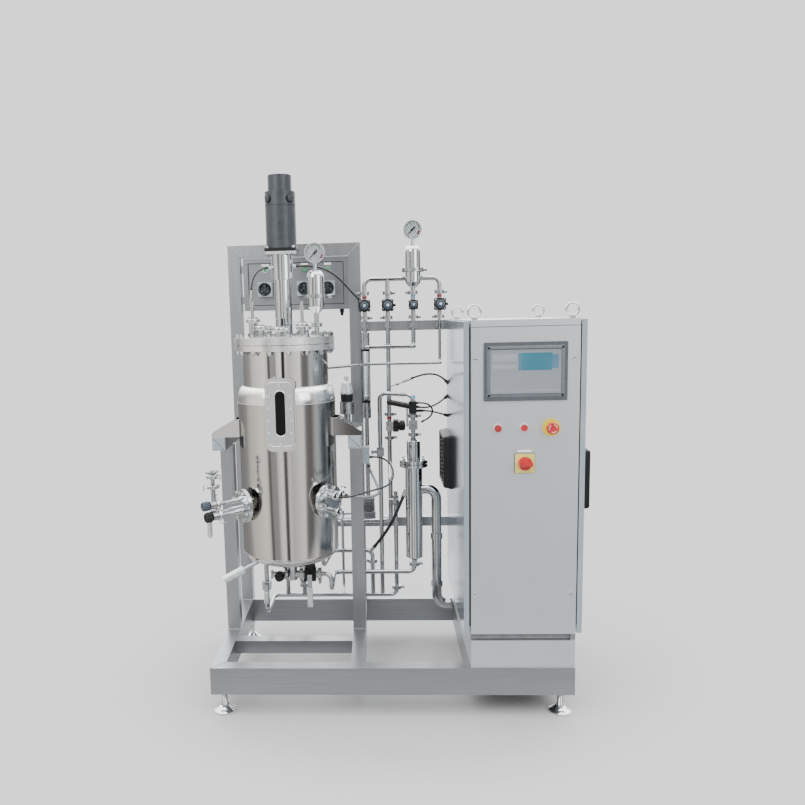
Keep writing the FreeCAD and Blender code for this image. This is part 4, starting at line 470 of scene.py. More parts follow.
# ---- drive ----------
# A motor in slate enamel on a black flange, bolted to a polished column on the lid, with four brush
# caps near its top. The agitator's shaft and turbines are as bright as the column.
slate_enamel = finish("slate enamel", "42464c", "3a3e44", scale=40, rough=(0.34, 0.42), bump=0.00002,
                      metallic=0.3)
black_enamel = finish("black enamel", "17181a", "0f1011", bump=0.00002, shine=0.3)
coat_node(bright_steel, "motor_lantern", "agitator")
motor_low, motor_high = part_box("motor")
motor_x, motor_y = (motor_low.x + motor_high.x) / 2, (motor_low.y + motor_high.y) / 2
flange_top = motor_low.z + 0.012
seam_z, caps_z, bolt_step = flange_top + 0.151, flange_top + 0.173, 0.0465
parted("motor", [("motor_flange", black_enamel, lambda m: m[:, 2] < flange_top + 0.0001),
                 ("motor_case", slate_enamel, None)])
case_radius = 0.055
carried("motor_seam", circle(case_radius, 96),
        [(-0.0008, -0.0009), (0.0004, -0.0006), (0.0004, 0.0006), (-0.0008, 0.0009)],
        (motor_x, motor_y, seam_z), top_turn, black_enamel, loop=True)


def outward_turn(degrees):
    """The axes of a seat on the side of an upright cylinder: sideways, up and outward. 0 is the front."""
    angle = math.radians(degrees)
    out = Vector((math.sin(angle), -math.cos(angle), 0))
    return Matrix((Vector((-out.y, out.x, 0)), Vector((0, 0, 1)), out)).transposed(), out


for degrees in (45, 135, 225, 315):
    facing, out = outward_turn(degrees)
    seat = Vector((motor_x, motor_y, caps_z)) + out * (case_radius - 0.004)
    carried("brush_boss_%d" % degrees, circle(0.015, 40),
            [(0, 0), (0, 0.006), (-0.001, 0.007), (-0.003, 0.007), (-0.003, 0.004), (-0.006, 0.004)], seat,
            facing, black_enamel)
    carried("brush_cap_%d" % degrees, circle(0.0112, 40),
            [(0, 0), (0, 0.008), (-0.0012, 0.0092), (-0.009, 0.0092)], seat, facing, slate_enamel)
socket_head = [(0, 0), (0, 0.007), (-0.0008, 0.0078), (-0.0035, 0.0078), (-0.0035, 0.004)]
for i, x in enumerate((-bolt_step, bolt_step)):
    for j, y in enumerate((-bolt_step, bolt_step)):
        carried("flange_screw_%d%d" % (i, j), circle(0.0065, 24), socket_head,
                (motor_x + x, motor_y + y, flange_top), top_turn, bright_steel)
# two small black discs on the case's front are painted shade for its two screw holes
for height in (1.698, 1.751):
    carried("case_hole_shade_%d" % (height * 1000), circle(0.0032, 20),
            [(0, -0.001), (0, 0.0004), (-0.0007, 0.0004), (-0.0012, -0.0006)],
            (motor_x, motor_y - case_radius, height), front_turn, black_enamel)

# ---- pipework ----------
# Thin stainless tube, bent and welded, with turned filter bowls and clamp unions. All of it is
# polished, so that it can be wiped clean.
tube_steel = finish("polished tube", "b8babd", "aaacaf", scale=14, metallic=1.0, rough=(0.10, 0.17))
cast_steel = finish("cast steel", "b4b6b9", "a3a5a8", metallic=1.0, rough=(0.20, 0.32), bump=0.00006)
coat_node(tube_steel, "upper_pipes", "lower_pipes")
coat_node(cast_steel, "pipe_clamps")
line_y = base_middle.y + 0.610
bowls = ((base_middle.x + 0.125, line_y, 1.674), (vessel_x + 0.120, vessel_y, 1.561))


def below_domes(m):
    """All of the housings but the tapered heads of the two small filters, which the domes stand for."""
    kept = np.ones(len(m), bool)
    for x, y, z in bowls:
        off = np.hypot(m[:, 0] - x, m[:, 1] - y)
        kept &= ~((m[:, 2] > z + 0.0002) & (m[:, 2] < z + 0.0258) & (off > 0.0072) & (off < 0.0325))
    return kept


parted("process_housings", [("housings", bright_steel, below_domes), (None, None, None)])
swell = np.linspace(0, np.pi / 2, 13)
for k, place in enumerate(bowls, 1):
    carried("filter_dome_%d" % k, circle(0.032, 96),
            np.c_[0.0185 * (np.cos(swell) - 1), 0.026 * np.sin(swell)].tolist() + [(-0.0252, 0.0262)], place,
            top_turn, bright_steel)

# ---- air valves ----------
# Diaphragm valves: a black moulded bonnet held by four screws, a blue-grey cap with a clear stroke
# window, and a coloured band on the pipe that says what flows in it.
black_plastic = finish("black plastic", "17181a", "0e0f10", scale=90, rough=(0.4, 0.55), bump=0.00004,
                       shine=0.3)
cap_plastic = finish("blue-grey plastic", "404b57", "35404b", scale=70, rough=(0.28, 0.38), bump=0.00003)
clear_window = finish("stroke window", "d6e6f2", "b4d0e6", scale=40, rough=(0.05, 0.1), coat=0.6)
line_x = [base_middle.x + x for x in (-0.075, 0.020, 0.125, 0.233)]
valve_z, steam_z, band_rise = 1.460, 0.958, 0.034


def junction_box(m):
    """The box on the middle post: near the post's right face, between two heights."""
    box_right, low, high = mid_post_x + post / 2 + 0.027, 0.82, 0.915
    return (m[:, 0] < box_right) & (m[:, 1] < front_post_y + post) & (m[:, 2] > low) & (m[:, 2] < high)


parted("valve_actuators", [("junction_box", grey_moulding, junction_box),
                           ("valve_bonnets", black_plastic, None)])
valves = [(x, line_y, valve_z, front_turn, size) for x, size in zip(line_x, (1.0, 1.0, 0.8, 1.0))]
valves.append((line_x[1], line_y, steam_z, right_turn, 1.0))
quarter = np.linspace(0, np.pi / 2, 7)[:-1]
for i, (x, y, z, turn, size) in enumerate(valves, 1):
    facing = Vector(turn.col[2])
    seat = Vector((x, y, z)) + facing * (0.016 + 0.022 * size)
    face = seat + facing * 0.026 * size
    carried("cap_groove_%d" % i, circle(0.0221 * size, 48),
            [(0, 0), (0.0006, 0.001), (0.0006, 0.004), (0, 0.005)], seat + facing * 0.012 * size, turn,
            black_plastic, loop=True)
    carried("cap_plate_%d" % i, circle(0.0172 * size, 56),
            [(0, -0.001), (0, 0.0016), (-0.0012, 0.0026), (-0.0095 * size, 0.0034)], face, turn, cap_plastic)
    dome = [(0, 0.002)] + [(-0.0052 * (1 - math.cos(a)), 0.0032 + 0.0024 * math.sin(a)) for a in quarter]
    carried("cap_window_%d" % i, circle(0.0056 * size, 40), dome, face, turn, clear_window)
    for k in range(4):
        carried("bonnet_screw_%d_%d" % (i, k), circle(0.0040 * size, 16),
                [(0, -0.001), (0, 0.0025), (-0.0006, 0.003), (-0.0018, 0.003), (-0.0018, 0.001)],
                seat + step_round(turn, 45 + 90 * k, 0.023 * size), turn, bright_steel)
red_band = finish("red band", "b3303a", "9c2630", rough=(0.35, 0.45))
blue_band = finish("blue band", "6fb2dd", "5c9fca", rough=(0.35, 0.45))
for name, x, y, z, skin in (("first", line_x[0], line_y, valve_z, red_band),
                            ("third", line_x[2], line_y, valve_z, blue_band),
                            ("fourth", line_x[3], line_y, valve_z, red_band),
                            ("steam", line_x[1], line_y, steam_z, red_band),
                            ("heater", *at(0.112, 0.450, 1.062), blue_band)):
    carried("flow_band_" + name, circle(0.0099, 40),
            [(0, -0.005), (0, 0.005), (-0.002, 0.0055), (-0.002, -0.0055)],
            (x, y, z + band_rise), top_turn, skin, loop=True)

# ---- gauges ----------
# Turned steel cases with a white enamel dial behind glass: a scale of numbers over three quarters of
# a turn, with the last part of it marked red.
dial_white = finish("dial white", "f3f4f4", "e9ebec", scale=30, rough=(0.45, 0.55))
print_black = finish("print black", "1b1c1d", "101112", scale=40, rough=(0.5, 0.6), shine=0.3)
print_grey = finish("print grey", "84888b", "7c8083", scale=40, rough=(0.5, 0.6))
dial_red = finish("dial red", "b5343f", "a02a34", scale=40, rough=(0.45, 0.55))
clear_glass = finish("clear glass", "f4f8f9", "eaf0f2", scale=8, rough=(0.01, 0.03), clear=1.0)
brushed_chrome = finish("brushed chrome", "dfe0e2", "d3d5d7", metallic=1.0, rough=(0.24, 0.32))
coat_node(brushed_chrome, "gauge_cases")
coat_node(print_black, "gauge_pointer_1", "gauge_pointer_2")


def sectors(name, centre, turn, arcs, depth, material, body="skid"):
    """Flat ring sectors, each from (inner radius, outer radius, first angle, last angle, steps). The
    angle runs clockwise from upright, and a sector stands depth proud of its plane."""
    points, faces = [], []
    start = 0
    for inner, outer, first, last, steps in arcs:
        angle = np.radians(np.linspace(first, last, steps + 1))
        way = np.c_[np.sin(angle), np.cos(angle)]
        count = steps + 1
        for radius, height in ((inner, 0), (inner, depth), (outer, depth), (outer, 0)):
            points.append(np.c_[way * radius, np.full(count, height)])
        for j in range(4):
            low, high = start + j * count, start + (j + 1) % 4 * count
            faces += [(low + i, low + i + 1, high + i + 1, high + i) for i in range(steps)]
        faces.append([start + j * count for j in range(4)])
        faces.append([start + j * count + steps for j in (3, 2, 1, 0)])
        start += 4 * count
    grid = np.concatenate(points) @ np.array(turn).T + np.array(centre)
    return piece(name, grid, faces, material, body)


def printed(name, words, size, centre, turn, depth, material, body="skid"):
    """Raised figures: an outline font made a mesh, then set on its plane with its middle at the centre."""
    curve = bpy.data.curves.new(name + "_outline", "FONT")
    curve.body = words
    curve.size = size
    curve.align_x = "CENTER"
    curve.align_y = "CENTER"
    curve.extrude = depth
    curve.resolution_u = 3
    holder = bpy.data.objects.new(name + "_outline", curve)
    mesh = bpy.data.meshes.new_from_object(holder)
    bpy.data.objects.remove(holder)
    points = np.zeros(len(mesh.vertices) * 3)
    mesh.vertices.foreach_get("co", points)
    faces = [list(face.vertices) for face in mesh.polygons]
    bpy.data.meshes.remove(mesh)
    grid = points.reshape(-1, 3) @ np.array(turn).T + np.array(centre)
    return piece(name, grid, faces, material, body)


# how far the dial, the glass and the bezel stand in front of the middle of their case
dial_out, glass_out, bezel_out = 0.0058, 0.0140, 0.0150
dials = [(line_x[2], line_y, 1.762), (vessel_x + 0.120, vessel_y, 1.649)]
for number, (x, y, z) in enumerate(dials, 1):
    plane = Vector((x, y - dial_out, z))
    carried("dial_%d" % number, circle(0.0328, 64), [(0, -0.0006), (0, 0), (-0.0305, 0), (-0.0305, -0.0006)],
            plane, front_turn, dial_white, loop=True)
    scale = [(0.0299, 0.0303, -136, 136, 48)]
    for step in range(13):
        middle = -135 + 22.5 * step
        inner, half = (0.0262, 0.9) if step % 2 == 0 else (0.0280, 0.5)
        scale.append((inner, 0.0299, middle - half, middle + half, 1))
    sectors("dial_scale_%d" % number, plane, front_turn, scale, 0.0001, print_grey)
    sectors("dial_limit_%d" % number, plane, front_turn, [(0.0245, 0.0300, 98, 134, 10)], 0.00015, dial_red)
    for step in range(7):
        printed("dial_%d_number_%d" % (number, step), "%d" % step, 0.0058,
                plane + step_round(front_turn, 225 - 45 * step, 0.0202), front_turn, 0.0001, print_grey)
    carried("gauge_glass_%d" % number, circle(0.0329, 64), [(0, -0.0016), (0, 0), (-0.0004, 0.0003)],
            (x, y - glass_out, z), front_turn, clear_glass)
    carried("gauge_bezel_%d" % number, circle(0.037, 72),
            [(0.0004, -0.006), (0.0004, 0.0004), (0, 0.0012), (-0.0038, 0.0012), (-0.0042, -0.0002),
             (-0.001, -0.006)], (x, y - bezel_out, z), front_turn, brushed_chrome, loop=True)

# ---- rotameter ----------
# A tapered borosilicate tube with an etched scale, held between black end rings by two guard rods. The
# flow lifts a turned steel float in it.
coat_node(clear_glass, "rotameter_tube")
coat_node(bright_steel, "rotameter_float")
tube_low, tube_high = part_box("rotameter_tube")
tube_x, tube_y = (tube_low.x + tube_high.x) / 2, (tube_low.y + tube_high.y) / 2
for name, z in (("lower", tube_low.z), ("upper", tube_high.z - 0.009)):
    carried("rotameter_ring_" + name, circle(0.0180, 48),
            [(-0.0034, 0), (0, 0.0004), (0, 0.0086), (-0.0034, 0.009)], (tube_x, tube_y, z), top_turn,
            black_plastic, loop=True)
guards = [((tube_x + side, tube_y - 0.002, tube_low.z), (tube_x + side, tube_y - 0.002, tube_high.z))
          for side in (-0.0170, 0.0170)]
rods("rotameter_guards", guards, 0.0019, cap_plastic, sides=12)


def bars(name, corners, material, body="skid"):
    """Straight bars, each given by two opposite corners: a bar's eight points are every mix of the two
    corners' coordinates, the lower ones first."""
    corners = np.sort(np.array(corners, float).reshape(-1, 2, 3), axis=1)
    pick = np.array([(i, j, k) for i in (0, 1) for j in (0, 1) for k in (0, 1)])
    points = corners[:, pick, np.arange(3)].reshape(-1, 3)
    sides = np.array([(0, 1, 3, 2), (4, 6, 7, 5), (0, 4, 5, 1), (2, 3, 7, 6), (0, 2, 6, 4), (1, 5, 7, 3)])
    faces = (sides[None] + 8 * np.arange(len(corners))[:, None, None]).reshape(-1, 4).tolist()
    return piece(name, points, faces, material, body)


tube_front, scale_foot, scale_step = tube_y - 0.0142, tube_low.z + 0.020, 0.0095
marks = []
for step in range(20):
    half = 0.0045 if step % 5 == 0 else 0.0026
    z = scale_foot + scale_step * step
    marks.append(((tube_x - half, tube_front - 0.00055, z), (tube_x + half, tube_front, z + 0.0007)))
bars("rotameter_scale", marks, print_black)

# ---- hand valves ----------
# Turned steel bodies. Two of the sampling valves have fluted plastic hand wheels, and the others have
# quarter-turn levers.
coat_node(cast_steel, "heater_valve_lever", "drain_valve_lever", "harvest_valve_lever")
pale_sleeve = finish("pale sleeve", "d3d5d6", "c4c7c9", scale=50, metallic=0.6, rough=(0.25, 0.35))
coat_node(pale_sleeve, "steam_valve_lever")
arm_end, grip_foot, grip_head = base_middle.x - 0.545, 0.44, 0.56
drain_x, drain_y, drain_z = vessel_x - 0.1125, vessel_y + 0.080, 0.369
outlet = np.array((vessel_x + 0.070, vessel_y, 0.440))
parted("valve_bodies", [
    ("sampling_grip", pale_sleeve,
     lambda m: (m[:, 0] < arm_end) & (m[:, 2] < grip_head) & (m[:, 2] > grip_foot)),
    ("outlet_block", black_plastic, lambda m: (abs(m - outlet) < 0.0225).all(1)),
    ("valve_castings", cast_steel, None)])


def fluted(radius, depth, count, steps=6):
    """A round outline with shallow flutes: the radius falls by depth with the cosine of count turns."""
    angle = np.arange(count * steps) * 2 * np.pi / (count * steps)
    out = np.c_[np.cos(angle), np.sin(angle)]
    fall = depth * (0.5 - 0.5 * np.cos(count * angle)) ** 2
    return out * (radius - fall)[:, None], out


def rounded_end(length, radius, steps=6):
    """The profile of a bar with domed ends: at each end the edge falls in by radius along a quarter turn."""
    angle = np.linspace(0, np.pi / 2, steps)
    foot = np.c_[radius * (np.sin(angle) - 1), radius * (1 - np.cos(angle))]
    head = np.c_[radius * (np.cos(angle) - 1), length - radius + radius * np.sin(angle)]
    return np.concatenate([foot, head]).tolist()


# the left port carries two hand wheels, a lever and a stack of clamped fittings, and the right one probes
port_z, probe_z = 0.745, 0.760
port_turn, port_out = outward_turn(-50)
port_side = Vector(port_turn.col[0]) * 0.02078
port_seat = Vector((vessel_x, vessel_y, port_z)) + port_out * 0.274
upper_seat = port_seat + Vector((0, 0, 0.024))
lower_seat = port_seat + Vector((0, 0, -0.012))
for node, body, radius, length, skin, rim in (
        ("inoculation_valve_knob", "inoculation_knob", 0.0168, 0.026, cap_plastic,
         upper_seat + port_out * 0.066),
        ("sample_valve_knob", "sample_knob", 0.0178, 0.024, black_plastic,
         lower_seat + port_side + port_out * 0.068)):
    parted(node, [(node + "_stem", bright_steel,
                   lambda m, rim=rim: (m - np.array(rim)) @ np.array(port_out) < -0.00005),
                  (None, None, None)], body)
    carried(node + "_wheel", fluted(radius, 0.0022, 14),
            [(-0.0030, 0), (0, 0.0025), (0, length - 0.003), (-0.0022, length - 0.0004), (-0.0060, length),
             (-0.0075, length - 0.0012)], rim, port_turn, skin, body)
stack = upper_seat + port_out * 0.047
for name, place, turn, radius, degrees in (
        ("upper", upper_seat + port_out * 0.034, port_turn, 0.0200, 110),
        ("stack_low", stack + Vector((0, 0, 0.066)), top_turn, 0.0215, 215),
        ("stack_high", stack + Vector((0, 0, 0.102)), top_turn, 0.0215, 330),
        ("lower", lower_seat + port_side + port_out * 0.036, port_turn, 0.0185, -40),
        ("handle", lower_seat - port_side + port_out * 0.027, port_turn, 0.0170, -120)):
    clamped("port_union_" + name, place, turn, radius, degrees)
probe_turn, probe_out = outward_turn(50)
for degrees in (60, 120, 270):
    clamped("probe_union_%d" % degrees, Vector((vessel_x, vessel_y, probe_z)) + probe_out * 0.252
            + step_round(probe_turn, degrees, 0.032), probe_turn, 0.0150, degrees)
nut_circle, nut_out = 0.0515, 0.212
for turn, out, height in ((port_turn, port_out, port_z), (probe_turn, probe_out, probe_z)):
    for k in range(8):
        carried("port_nut_%d_%d" % (height * 1000, k), circle(0.0072, 6),
                [(0, -0.0005), (0, 0.006), (-0.0008, 0.0066), (-0.0030, 0.0068), (-0.0034, 0.0094),
                 (-0.0052, 0.0098)], Vector((vessel_x, vessel_y, height)) + out * nut_out
                + step_round(turn, 22.5 + 45 * k, nut_circle), turn, bright_steel)
# each lever's grip: its outline, the lever's pivot, how far below it the grip starts, its length and corner
for name, outline, seat, low, length, corner in (
        ("steam", circle(0.0088, 32), lower_seat - port_side + port_out * 0.056, -0.086, 0.074, 0.0070),
        ("harvest", rounded(0.0215, 0.0105, 0.0045), Vector(outlet) + Vector((0, -0.0365, 0)), -0.1195,
         0.078, 0.0045),
        ("drain", rounded(0.0195, 0.0095, 0.0042), Vector((drain_x, drain_y - 0.025, drain_z)), -0.0705,
         0.050, 0.0042)):
    carried(name + "_lever_grip", outline, rounded_end(length, corner), seat + Vector((0, 0, low)), top_turn,
            pale_sleeve, name + "_lever")

# ---- circulation pump ----------
# A finned motor in grey paint on a bracket, and the filter regulator that stands on the beam: a cast
# body under a black cap.
grey_paint = finish("grey paint", "767a7f", "676b70", rough=(0.4, 0.55), bump=0.00005)
bracket_top, regulator_foot, body_top, cap_top = 0.5572, 0.9, 1.0775, 1.1105
parted("circulation_pump", [
    ("pump_bracket", satin_across, lambda m: m[:, 2] < bracket_top),
    ("regulator_body", cast_steel, lambda m: (m[:, 2] > regulator_foot) & (m[:, 2] < body_top)),
    ("regulator_cap", black_plastic, lambda m: (m[:, 2] > regulator_foot) & (m[:, 2] < cap_top)),
    ("regulator_spring_case", pale_sleeve, lambda m: m[:, 2] > regulator_foot),
    ("pump_motor", grey_paint, None)])
fins_foot, fin_step = 0.5965, 0.0052
for k in range(6):
    carried("pump_fin_%d" % k, circle(0.0285, 48), [(0, 0), (0, 0.0018), (-0.0055, 0.0018), (-0.0055, 0)],
            (line_x[0], line_y, fins_foot + fin_step * k), top_turn, grey_paint, loop=True)

# ---- pump box ----------
# A folded box with a recessed front. Each dosing pump has a grey head with a black rim round its
# rollers, and a green button under a blank white label.
green_plastic = finish("green plastic", "1f9d63", "178a55", scale=50, rough=(0.25, 0.35))
label_white = finish("label white", "f0f0ee", "e4e4e2", scale=50)
dark_roller = finish("dark rollers", "55585c", "3d4043", scale=80, metallic=0.8, rough=(0.25, 0.4))
pump_x = [base_middle.x + x for x in (-0.489, -0.324, -0.227)]
pump_face_y, pump_z, button_z, box_foot = base_middle.y + 0.658, 1.538, 1.617, 1.451


def near_pumps(m, z, reach):
    """Within a square reach of one of the three pumps' middle lines, at a height."""
    chosen = np.zeros(len(m), bool)
    for x in pump_x:
        chosen = chosen | ((abs(m[:, 0] - x) < reach) & (abs(m[:, 2] - z) < reach))
    return chosen


parted("pump_box", [
    ("pump_heads", grey_moulding,
     lambda m: (m[:, 1] < pump_face_y - 0.0035) & near_pumps(m, pump_z, 0.0302)),
    ("button_bezels", bright_steel,
     lambda m: (m[:, 1] < pump_face_y - 0.0003) & near_pumps(m, button_z, 0.0105)),
    ("pump_box_gland", black_plastic, lambda m: m[:, 2] < box_foot - 0.0001),
    ("pump_box_shell", satin_across, None)])
coat_node(green_plastic, "green_button_1", "green_button_2", "green_button_3")
coat_node(dark_roller, "pump_rotor_1", "pump_rotor_2", "pump_rotor_3")
for i, x in enumerate(pump_x, 1):
    carried("pump_rim_%d" % i, circle(0.0268, 56),
            [(0, -0.001), (0, 0.002), (-0.0036, 0.002), (-0.0036, -0.001)], (x, pump_face_y - 0.040, pump_z),
            front_turn, black_plastic, loop=True)
    carried("pump_label_%d" % i, rounded(0.030, 0.009, 0.001, 3),
            [(0, -0.0002), (0, 0.0005), (-0.0003, 0.0006)], (x, pump_face_y, button_z + 0.022), front_turn,
            label_white)
carried("pump_box_bead", rounded(0.4016, 0.1756, 0.002, 4),
        [(0, -0.0002), (0, 0.0010), (-0.0026, 0.0010), (-0.0026, -0.0002)],
        (base_middle.x - 0.3615, pump_face_y, 1.5595), front_turn, black_rubber, loop=True)

# ---- cabinet ----------
# Folded stainless sheet on a plinth, its front in a soft satin and its side covers polished. The dark
# lines beside the door are painted shade: black strips standing in the shadowed gaps by the covers.
sheet_steel = finish("satin sheet", "d2d5d8", "cfd2d5", grain=(6, 6, 0.15), metallic=1.0, rough=(0.46, 0.5),
                     bump=0.000002)
side_sheet = finish("polished side sheet", "c9d4de", "bdc9d4", scale=5, metallic=1.0, rough=(0.16, 0.24))
zinc_plate = finish("zinc plate", "b9bdc0", "a5a9ad", scale=24, metallic=0.9, rough=(0.35, 0.5))
module_grey = finish("module grey", "c9ccce", "bcbfc2", scale=40, rough=(0.45, 0.55))
coat_node(sheet_steel, "cabinet_shell", "cabinet_door")
coat_node(bright_steel, "lifting_eyes", "door_lock_upper", "door_lock_lower")
cab_left, cab_right = base_middle.x + 0.285, base_middle.x + 0.645
cab_middle = (cab_left + cab_right) / 2
door_y, cab_back = base_middle.y + 0.005, base_middle.y + 0.605
# the black strips on the covers' front edges are painted shade for the gaps beside the door
parted("side_panels", [
    ("side_gap_shades", black_rubber, lambda m: (abs(m[:, 0] - cab_left + 0.003) < 0.00295)
     | (abs(m[:, 0] - cab_right - 0.003) < 0.00295)),
    ("side_glands", black_plastic, lambda m: m[:, 0] < cab_left - 0.0241),
    ("side_covers", side_sheet, None)])
parted("mounting_plate", [("gear_plate", zinc_plate, lambda m: m[:, 1] > cab_back - 0.0401),
                          ("gear_modules", module_grey, None)])
# a mid grey strip along the foot of the door is painted shade for the shadowed recess above the plinth
carried("sill_shade_strip", rounded(0.356, 0.019, 0.001, 2), [(0, 0), (0, 0.012), (-0.001, 0.013)],
        (cab_middle, base_middle.y + 0.027, 0.2925), front_turn, grey_paint)
bars("hinge_cover", ((cab_right - 0.0162, door_y - 0.0001, 0.2828),
                     (cab_right - 0.0001, door_y + 0.0008, 0.3018)), grey_paint)
# two black bars standing in the gaps beside the door are painted shade for the shadow in them
gap_shade_foot, gap_shade_head, gap_shade_y = 0.330, 1.370, door_y + 0.0295
bars("edge_gap_shades", [
    ((cab_left - 0.0055, door_y + 0.009, gap_shade_foot), (cab_left - 0.0006, gap_shade_y, gap_shade_head)),
    ((cab_right + 0.0006, door_y + 0.017, gap_shade_foot), (cab_right + 0.0055, gap_shade_y, gap_shade_head))], black_rubber)
gasket_low, gasket_high = 0.308, 1.366
carried("door_gasket", rounded(0.351, gasket_high - gasket_low, 0.010),
        [(0.002, 0), (0.002, 0.008), (-0.002, 0.008), (-0.002, 0)],
        (cab_middle, door_y + 0.0212, (gasket_low + gasket_high) / 2), front_turn, black_rubber, "door",
        loop=True)
# inside, the power supply and the relays have rows of slots, and the two drives a keypad and a display each
vents = []
for z, height, y in ((1.136, 0.130, 0.475), (0.936, 0.120, 0.495)):
    for k in range(14):
        x = 0.360 + 0.0155 * k
        vents.append((at(x, y - 0.0012, z + height - 0.030), at(x + 0.007, y, z + height - 0.010)))
        vents.append((at(x, y - 0.008, z + 0.012), at(x + 0.012, y, z + 0.034)))
# each slot is a black bar, painted shade for the dark inside of the slot
bars("gear_vent_shades", vents, print_black)
for k, x in enumerate((0.395, 0.525), 1):
    carried("drive_keypad_%d" % k, rounded(0.070, 0.090, 0.006), [(0, 0), (0, 0.002), (-0.001, 0.003)],
            at(x, 0.415, 0.630), front_turn, cap_plastic)
    carried("drive_display_%d" % k, rounded(0.050, 0.022, 0.002, 4), [(0, 0), (0, 0.0005), (-0.0004, 0.0008)],
            at(x, 0.412, 0.652), front_turn, dark_pane)
columns, rows = (cab_left + 0.02, cab_middle, cab_right - 0.02), (0.32, 0.6, 0.86, 1.12, 1.37)
for k, (x, z) in enumerate((x, z) for x in columns for z in rows):
    if x != cab_middle or z in (rows[0], rows[-1]):
        carried("back_screw_%d" % k, circle(0.0055, 20), [(0, 0), (-0.0006, 0.0022), (-0.003, 0.003)],
                (x, cab_back, z), back_turn, bright_steel)

# ---- filter fans ----------
# A moulded black hood on each side cover, with a sloped rim and louvres across its mouth: near the back
# of the left cover, and near the front of the right one.
left_turn = Matrix(((0, 0, -1), (-1, 0, 0), (0, 1, 0)))
fan_size, fan_depth, half_mouth, slats_step = 0.216, 0.034, 0.0885, 0.0164
fan_low, fan_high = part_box("fan_filters")
for name, x, y, turn in (("left", fan_low.x + fan_depth, base_middle.y + 0.500, left_turn),
                         ("right", fan_high.x - fan_depth, base_middle.y + 0.168, right_turn)):
    middle, out = Vector((x, y, 0.838)), Vector(turn.col[2])
    carried("fan_hood_" + name, rounded(fan_size, fan_size, 0.012),
                        [(0, 0), (0, 0.010), (-0.0025, 0.012), (-0.005, 0.029), (-0.009, 0.0335),
                         (-0.016, fan_depth), (-0.0195, 0.020)], middle, turn, black_plastic)
    back = middle + out * 0.0195
    slats = [(back + Vector((0, -half_mouth, rise - 0.0028)),
              middle + out * 0.031 + Vector((0, half_mouth, rise + 0.0028)))
             for rise in np.arange(11) * slats_step - 5 * slats_step]
    slats.append((back + Vector((0, -0.004, -half_mouth)),
                  middle + out * 0.0325 + Vector((0, 0.004, half_mouth))))
    bars("fan_louvres_" + name, slats, black_plastic)
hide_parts("fan_filters")

# ---- operator panel ----------
# A touch panel in the door: a dark frame with a paler inner bezel, and the screen sunk behind it with
# plain blocks of colour on it.
bezel_grey = finish("bezel grey", "50565c", "474d53", rough=(0.3, 0.4), bump=0.00002)
inner_bezel = finish("inner bezel", "666d73", "5d646a", rough=(0.3, 0.4))
screen_grey = finish("screen grey", "8b9198", "80868d", scale=3, rough=(0.2, 0.3))
screen_pale = finish("screen pale", "9aa0a6", "92989f", scale=12, rough=(0.2, 0.3))
screen_teal = finish("screen teal", "3a788c", "316d81", scale=12, rough=(0.2, 0.3))
screen_blue = finish("screen blue", "55788f", "4c6f87", scale=12, rough=(0.2, 0.3))
coat_node(bezel_grey, "operator_panel")
panel_z = 1.223
carried("panel_inner_bezel", rounded(0.256, 0.172, 0.003),
        [(0, -0.0004), (0, 0.0007), (-0.0006, 0.001), (-0.0098, 0.001), (-0.0100, -0.0004)],
        (cab_middle, door_y - 0.006, panel_z), front_turn, inner_bezel, "door", loop=True)
screen_y = door_y - 0.004
carried("panel_screen", rounded(0.2356, 0.1476, 0.002, 4), [(0, -0.0002), (0, 0.0005), (-0.0004, 0.0008)],
        (cab_middle, screen_y, panel_z), front_turn, screen_grey, "door")
for name, left, right, low, high, skin in (
        ("screen_picture", -0.012, 0.087, 0.004, 0.062, screen_teal),
        ("screen_picture_edge", -0.024, -0.012, 0.004, 0.062, screen_blue),
        ("screen_picture_side", 0.087, 0.108, 0.010, 0.056, screen_blue),
        ("screen_field_1", -0.108, -0.030, 0.036, 0.058, screen_pale),
        ("screen_field_2", -0.108, -0.030, 0.010, 0.024, screen_pale),
        ("screen_foot", -0.108, 0.108, -0.064, -0.0615, screen_pale)):
    bars(name, ((cab_middle + left, screen_y - 0.0010, panel_z + low),
                (cab_middle + right, screen_y, panel_z + high)), skin, "door")

# ---- door controls ----------
# A red signal lamp and push button in pale rings, the emergency stop on its yellow ring, and the main
# switch on a yellow plate with a dark edge, under a blank label.
signal_red = finish("signal red", "c3252b", "a91d23", scale=50, rough=(0.2, 0.3), coat=0.3)
lens_red = finish("lens red", "9c1a26", "74121c", scale=400, rough=(0.12, 0.25), coat=0.5)
signal_yellow = finish("signal yellow", "e8cf3e", "dcc131", scale=50, rough=(0.3, 0.4))
plate_yellow = finish("plate yellow", "e6d67c", "dbca6c", scale=50, rough=(0.3, 0.4))
pale_ring = finish("pale ring", "d9d3d2", "cdc6c6", scale=50, rough=(0.3, 0.4))
coat_node(signal_red, "emergency_stop_head", "push_button", "main_switch_knob")
row_z, switch_z = 1.033, 0.912
lamp_x, button_x, stop_x = cab_middle - 0.091, cab_middle - 0.003, cab_middle + 0.087
parted("switch_escutcheons", [
    ("lamp_lens", lens_red, lambda m: (abs(m[:, 0] - lamp_x) < 0.014) & (m[:, 1] < door_y - 0.0042)),
    ("lamp_body", pale_ring, lambda m: abs(m[:, 0] - lamp_x) < 0.018),
    ("stop_plate", signal_yellow, lambda m: abs(m[:, 2] - row_z) < 0.032),
    ("switch_plate", plate_yellow, None)], "door")
for k, radius in enumerate((0.0098, 0.0066, 0.0034)):
    carried("lens_ring_%d" % k, circle(radius, 40),
            [(0, -0.0004), (0, 0.0003), (-0.0012, 0.0006), (-0.0018, -0.0004)],
            (lamp_x, door_y - 0.012, row_z), front_turn, signal_red, "door", loop=True)
